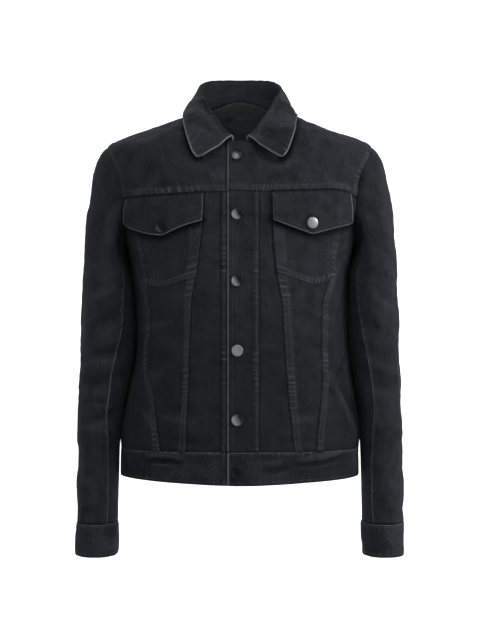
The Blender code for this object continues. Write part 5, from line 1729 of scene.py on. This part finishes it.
def makeCollar():
    left, right = collarHalf(1), collarHalf(-1)
    rough = np.concatenate([left, right[:, :-1][:, ::-1]], 1)
    # along each cross-section, a smooth curve through its points, read at closer ones by both edges
    lengths = runLengths(rough)
    near = np.array(collarShape["near"])
    grid, gapEdge = [], []
    for k in range(rough.shape[1]):
        keys, whole = lengths[:, k], lengths[-1, k]
        middle = np.linspace(0.0025, whole - near[-1], collarShape["across"])[:-1]
        at = np.concatenate([[0, 0.0008], middle, whole - near[::-1], [whole]])
        grid.append(np.stack([smooth(keys, rough[:, k, i], at) for i in range(3)], -1))
        gapEdge.append(whole - at)
    grid, gapEdge = np.array(grid).transpose(1, 0, 2), np.array(gapEdge).T
    run = np.broadcast_to(runLengths(grid[-1])[None], grid.shape[:2])
    fromEnd = runLengths(grid.transpose(1, 0, 2)).T
    gapEnd = np.minimum(fromEnd, fromEnd[:, -1:] - fromEnd)
    grid = roundedTips(grid, gapEdge, gapEnd)
    normal = unit(np.cross(np.gradient(grid, axis=1), np.gradient(grid, axis=0)))
    nearer = np.minimum(gapEdge, gapEnd)
    onLeaf = ease((0.060 - gapEdge) / 0.02)
    wave = puckers(run, 1.3, 0.0110) * bump((gapEdge - 0.004) / 0.007) * onLeaf
    lift = 0.0004 * ease(nearer / 0.0045) - 0.00025 * bump((nearer - collarShape["stitch"]) / 0.0009)
    lift = lift + 0.0004 * wave + rippleLift(grid) * 1.3 * onLeaf
    lift = lift + 0.0008 * np.sin(run / 0.021 + 0.8) * ease((0.03 - gapEdge) / 0.03)
    outer = grid + normal * (cloth["double"] / 2 + lift)[..., None]
    whole = lengths[-1].mean()
    foldLine = bump((lengths[3].mean() - (whole - gapEdge)) / 0.006)
    floats = bandFloats(
        nearer, run, 1.3, wave=wave, inside=np.zeros_like(run),
        ridge=np.clip(lift / fullCrest + 0.6 * foldLine, -1, 1),
        felled=0.6 * (1 - ease((nearer - 0.0055) / 0.003)),
        # painted shade: darker on the wearer's right, away from the key light
        hollow=0.40 * ease((0.02 - grid[..., 0]) / 0.04),
        wear=tipWear(gapEdge) * onLeaf + tipWear(gapEnd) * ease((0.088 - gapEdge) / 0.012),
    )
    uv = np.stack([run, whole - gapEdge], -1)
    thing = addPiece(wall("collar", outer, -normal * cloth["double"], uv, floats), crossDenim, "collar")
    # painted shadow on the yokes below the collar leaves' edges, with a shallow groove
    middle = grid.shape[1] // 2
    for word, half in (("left", outer[-1, :middle]), ("right", outer[-1, middle:])):
        leafEdge = half[np.abs(half[:, 1] + 0.07) < 0.055]
        paintShadowUnder([f"yoke_{word}"], leafEdge, reach=0.0110, groove=0.0010)
    collarStitches(outer, normal, gapEdge, fromEnd)


makeCollar()
print("collar done")


# ---- buttons and buttonholes

buttons = {
    "x": -0.0040,
    "heights": (-0.0690, -0.1570, -0.2556, -0.3591, -0.4619, -0.5396),
    "tilts": ((-6, 9), (-5, 7), (-4, 5), (1, -2), (-2, 2), (-3, 2)),  # degrees sideways and up
    # painted highlight and shade: slope across, level
    "paintedGlint": ((0.7, -0.1), (0.9, 0.0), (0.8, -0.05), (0.4, 0.45), (0.6, 0.1), (0.2, -0.35)),
    "sides": 56,
    "gap": 0.0003,
    "shift": 0.0040,  # from the button's middle to its buttonhole's
}
buttonProfile = table(
    "radius height",
    (0.0026, 0.0000),
    (0.0026, 0.0013),
    (0.0068, 0.0014),
    (0.0080, 0.0017),
    (0.0085, 0.0024),
    (0.0084, 0.0030),
    (0.0078, 0.0035),
    (0.0068, 0.0039),
    (0.0056, 0.0042),
    (0.0042, 0.0044),
    (0.0027, 0.0045),
    (0.0013, 0.0046),
    (0.0003, 0.0046),
)
flapButtons = {
    "left": {"x": 0.1050, "height": -0.1690, "tilt": (0, 0), "paintedGlint": (0.2, 0.5), "shift": 0.0045},
    "right": {"x": 0.1135, "height": -0.1745, "tilt": (4, -16), "paintedGlint": (0.5, -0.35), "shift": 0.0080},
}


def surfaceFrame(x, height):
    place = bodyPlace(x, height)
    centre, normal = bodyPoint(*place), bodyNormal(*place)
    across = unit(np.cross([0, 0, 1.0], normal))
    return centre, normal, across, np.cross(normal, across)


def makeButton(name, node, x, height, standOff, tilt, paintedGlint):
    centre, normal, across, up = surfaceFrame(x, height)
    lean = unit(normal + across * math.tan(math.radians(tilt[0])) + up * math.tan(math.radians(tilt[1])))
    across = unit(np.cross(up, lean))
    up = np.cross(lean, across)
    count = buttons["sides"]
    around = np.linspace(0, 2 * math.pi, count, endpoint=False)
    ring = np.cos(around)[:, None] * across + np.sin(around)[:, None] * up
    keys = np.linspace(0, 1, len(buttonProfile["radius"]))
    fine = np.linspace(0, 1, 46)
    radii, heights = (np.interp(fine, keys, buttonProfile[column]) for column in ("radius", "height"))
    for line in (radii, heights):  # rounds the corners of the turned shape
        line[1:-1] = (line[:-2] + 2 * line[1:-1] + line[2:]) / 4
    # painted highlight on the lower left, painted shade on the upper right
    slope = np.outer(radii / radii.max(), np.cos(around) * -0.80 + np.sin(around) * -0.45)
    rim = np.clip(0.5 + paintedGlint[1] + paintedGlint[0] * slope, 0, 1)
    base = centre + normal * (standOff + buttons["gap"])
    rings = [base + lean * h + ring * r for r, h in zip(radii, heights)]
    points = np.concatenate(rings + [[base], [base + lean * heights[-1]]])
    first = np.arange(count)
    last = first + (len(radii) - 1) * count
    low, high = np.full(count, len(points) - 2), np.full(count, len(points) - 1)
    fans = [np.stack([low, np.roll(first, -1), first], -1), np.stack([high, last, np.roll(last, -1)], -1)]
    rim = np.concatenate([rim.ravel(), [0, 0.5 + paintedGlint[1]]])
    thing = meshFrom(name, points, [tubeFaces(len(radii), count), np.concatenate(fans)], None, {"rim": rim})
    addPiece(thing, gunmetal, node)


def oval(length, width, count):
    # a long slot with a round, slightly larger end
    t = np.linspace(0, 2 * math.pi, count, endpoint=False)
    x = np.cos(t) * length / 2
    y = np.sin(t) * width / 2 * (1 + 0.25 * bump((x - length * 0.40) / (length * 0.12)))
    squareness = np.clip(1.6 - 0.6 * np.abs(np.cos(t)) ** 6, 1, 1.6)
    return x, np.clip(y * squareness, -width * 0.62, width * 0.62)


buttonhole = {"length": 0.0215, "width": 0.0036, "slit": 0.42, "around": 64}
slits = []


def makeButtonhole(x, height, standOff, shift, upright=False):
    # bound with short threads side by side, round a near-black slit of painted shade
    centre, normal, across, up = surfaceFrame(x, height)
    onward, aside = (up, -across) if upright else (across, up)
    px, py = oval(buttonhole["length"], buttonhole["width"], buttonhole["around"])
    middle = centre + normal * (standOff + 0.0003) + onward * shift
    ring = middle + px[:, None] * onward + py[:, None] * aside
    stitchRows.append(("buttonholes", np.vstack([ring, ring[:1]]), np.tile(normal, (len(ring) + 1, 1))))
    ring = middle + normal * 0.0002 + px[:, None] * onward * 0.96 + py[:, None] * aside * buttonhole["slit"]
    slits.append(np.stack([ring - normal * 0.0004, ring]))


# thin near-black prisms in the buttonholes: painted shade
def makeSlits():
    points, faces = [], []
    total = 0
    for low, high in slits:
        count = len(low)
        points += [low, high]
        at = total + np.arange(count)
        following = np.roll(at, -1)
        faces += [tuple(at[::-1].tolist()), tuple((at + count).tolist())]
        faces += [(a, b, b + count, a + count) for a, b in zip(at.tolist(), following.tolist())]
        total += 2 * count
    mesh = bpy.data.meshes.new("buttonhole_slit_shade")
    mesh.from_pydata(np.concatenate(points).tolist(), [], faces)
    mesh.materials.append(slitShade)
    thing = addObject("buttonhole_slit_shade", mesh)
    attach(thing, "root")


for number, height in enumerate(buttons["heights"], 1):
    standOff = front["over"] + (waistband["over"] + 0.0005 if number == len(buttons["heights"]) else 0.0)
    makeButton(f"button_{number}", f"front_button_{number}", buttons["x"], height, standOff,
               buttons["tilts"][number - 1], buttons["paintedGlint"][number - 1])
    makeButtonhole(buttons["x"], height, standOff, buttons["shift"])
for word, button in flapButtons.items():
    x, height, standOff = sides[word] * button["x"], button["height"], flapShape["foot"] + cloth["single"]
    makeButton(f"flapButton_{word}", f"flap_button_{word}", x, height, standOff,
               button["tilt"], button["paintedGlint"])
    makeButtonhole(x, height, standOff, button["shift"], upright=True)
makeSlits()
print("buttons done")

sewRows()
print("stitches done")


# ---- camera, floor and light

view = {"distance": 2.2, "height": -0.314, "focalPixels": 1410, "pictureHeight": 640, "sensor": 36.0}
camera = bpy.data.cameras.new("camera")
camera.sensor_fit = "VERTICAL"
camera.sensor_height = view["sensor"]
camera.lens = view["sensor"] * view["focalPixels"] / view["pictureHeight"]
cameraObject = addObject("camera", camera)
cameraObject.location = (0, -view["distance"], view["height"])
cameraObject.rotation_euler = (math.pi / 2, 0, 0)
bpy.context.scene.camera = cameraObject

studio = {
    "floor": -1.05,
    "white": (0.74, 0.74, 0.74),
    "centreHole": 0.02,
    "radius": 2.9,
    "bend": 0.9,
    "wallTop": 2.4,
    "around": 96,
    "wallGlow": 0.12,
    "backGlow": 0.60,
    "world": 0.06,
}
softLights = {  # place, aim, size and watts
    "keyRight": ((2.6, -1.05, 0.6), (0, 0, -0.28), (0.9, 1.1), 92),
    "fillLeft": ((-2.0, -1.8, 0.2), (0, 0, -0.3), (0.9, 1.2), 9),
    "topSoft": ((0.2, -1.0, 1.6), (0, 0, -0.15), (0.9, 0.7), 31),
    "backSoft": ((-0.7, 2.0, 1.9), (0, 0, -0.35), (1.0, 1.0), 40),
}


def makeSweep():
    # a round pale floor that bends up into a wall on all sides
    floor, radius, bend, count = (studio[name] for name in ("floor", "radius", "bend", "around"))
    profile = [(studio["centreHole"], floor), (radius, floor)]
    for k in range(1, 13):
        a = math.pi / 2 * k / 12
        profile.append((radius + bend * math.sin(a), floor + bend * (1 - math.cos(a))))
    profile.append((radius + bend, studio["wallTop"]))
    turn = np.linspace(0, 2 * math.pi, count, endpoint=False)
    rings = [np.stack([r * np.sin(turn), r * np.cos(turn), np.full(count, z)], -1) for r, z in profile]
    sweep = meshFrom("studioSweep", np.concatenate(rings), [tubeFaces(len(rings), count)[:, ::-1]])
    paint = Shader("paleFloor")
    paint.surface.inputs["Base Color"].default_value = (*studio["white"], 1)
    paint.surface.inputs["Roughness"].default_value = 0.9
    paint.surface.inputs["Emission Color"].default_value = (1, 1, 1, 1)
    # the wall glows, most of all behind, and the floor near the jacket hardly
    place = paint.ownPlace()
    split = paint.node("ShaderNodeSeparateXYZ")
    paint.links.new(place, split.inputs[0])
    reach = paint.node("ShaderNodeVectorMath", operation="LENGTH")
    paint.links.new(place, reach.inputs[0])
    around = paint.math("MULTIPLY", paint.between(reach.outputs["Value"], 1.6, 3.2), studio["wallGlow"])
    behind = paint.math("MULTIPLY", paint.between(split.outputs["Y"], 0.5, 1.5), studio["backGlow"])
    paint.links.new(paint.math("MAXIMUM", around, behind), paint.surface.inputs["Emission Strength"])
    sweep.data.materials.append(paint.material)


def softLight(name, place, aim, size, power):
    light = bpy.data.lights.new(name, "AREA")
    light.shape, light.size, light.size_y, light.energy = "RECTANGLE", size[0], size[1], power
    thing = addObject(name, light)
    thing.location = place
    run = np.array(aim, float) - np.array(place, float)
    flat = math.hypot(run[0], run[1])
    thing.rotation_euler = (math.pi / 2 - math.atan2(-run[2], flat), 0, math.atan2(-run[0], run[1]))


makeSweep()
for name, settings in softLights.items():
    softLight(name, *settings)
world = bpy.data.worlds.new("softWhite")
bpy.context.scene.world = world
world.use_nodes = True
world.node_tree.nodes["Background"].inputs["Color"].default_value = (1, 1, 1, 1)
world.node_tree.nodes["Background"].inputs["Strength"].default_value = studio["world"]
bpy.context.scene.view_settings.view_transform = "Standard"
print("studio done")
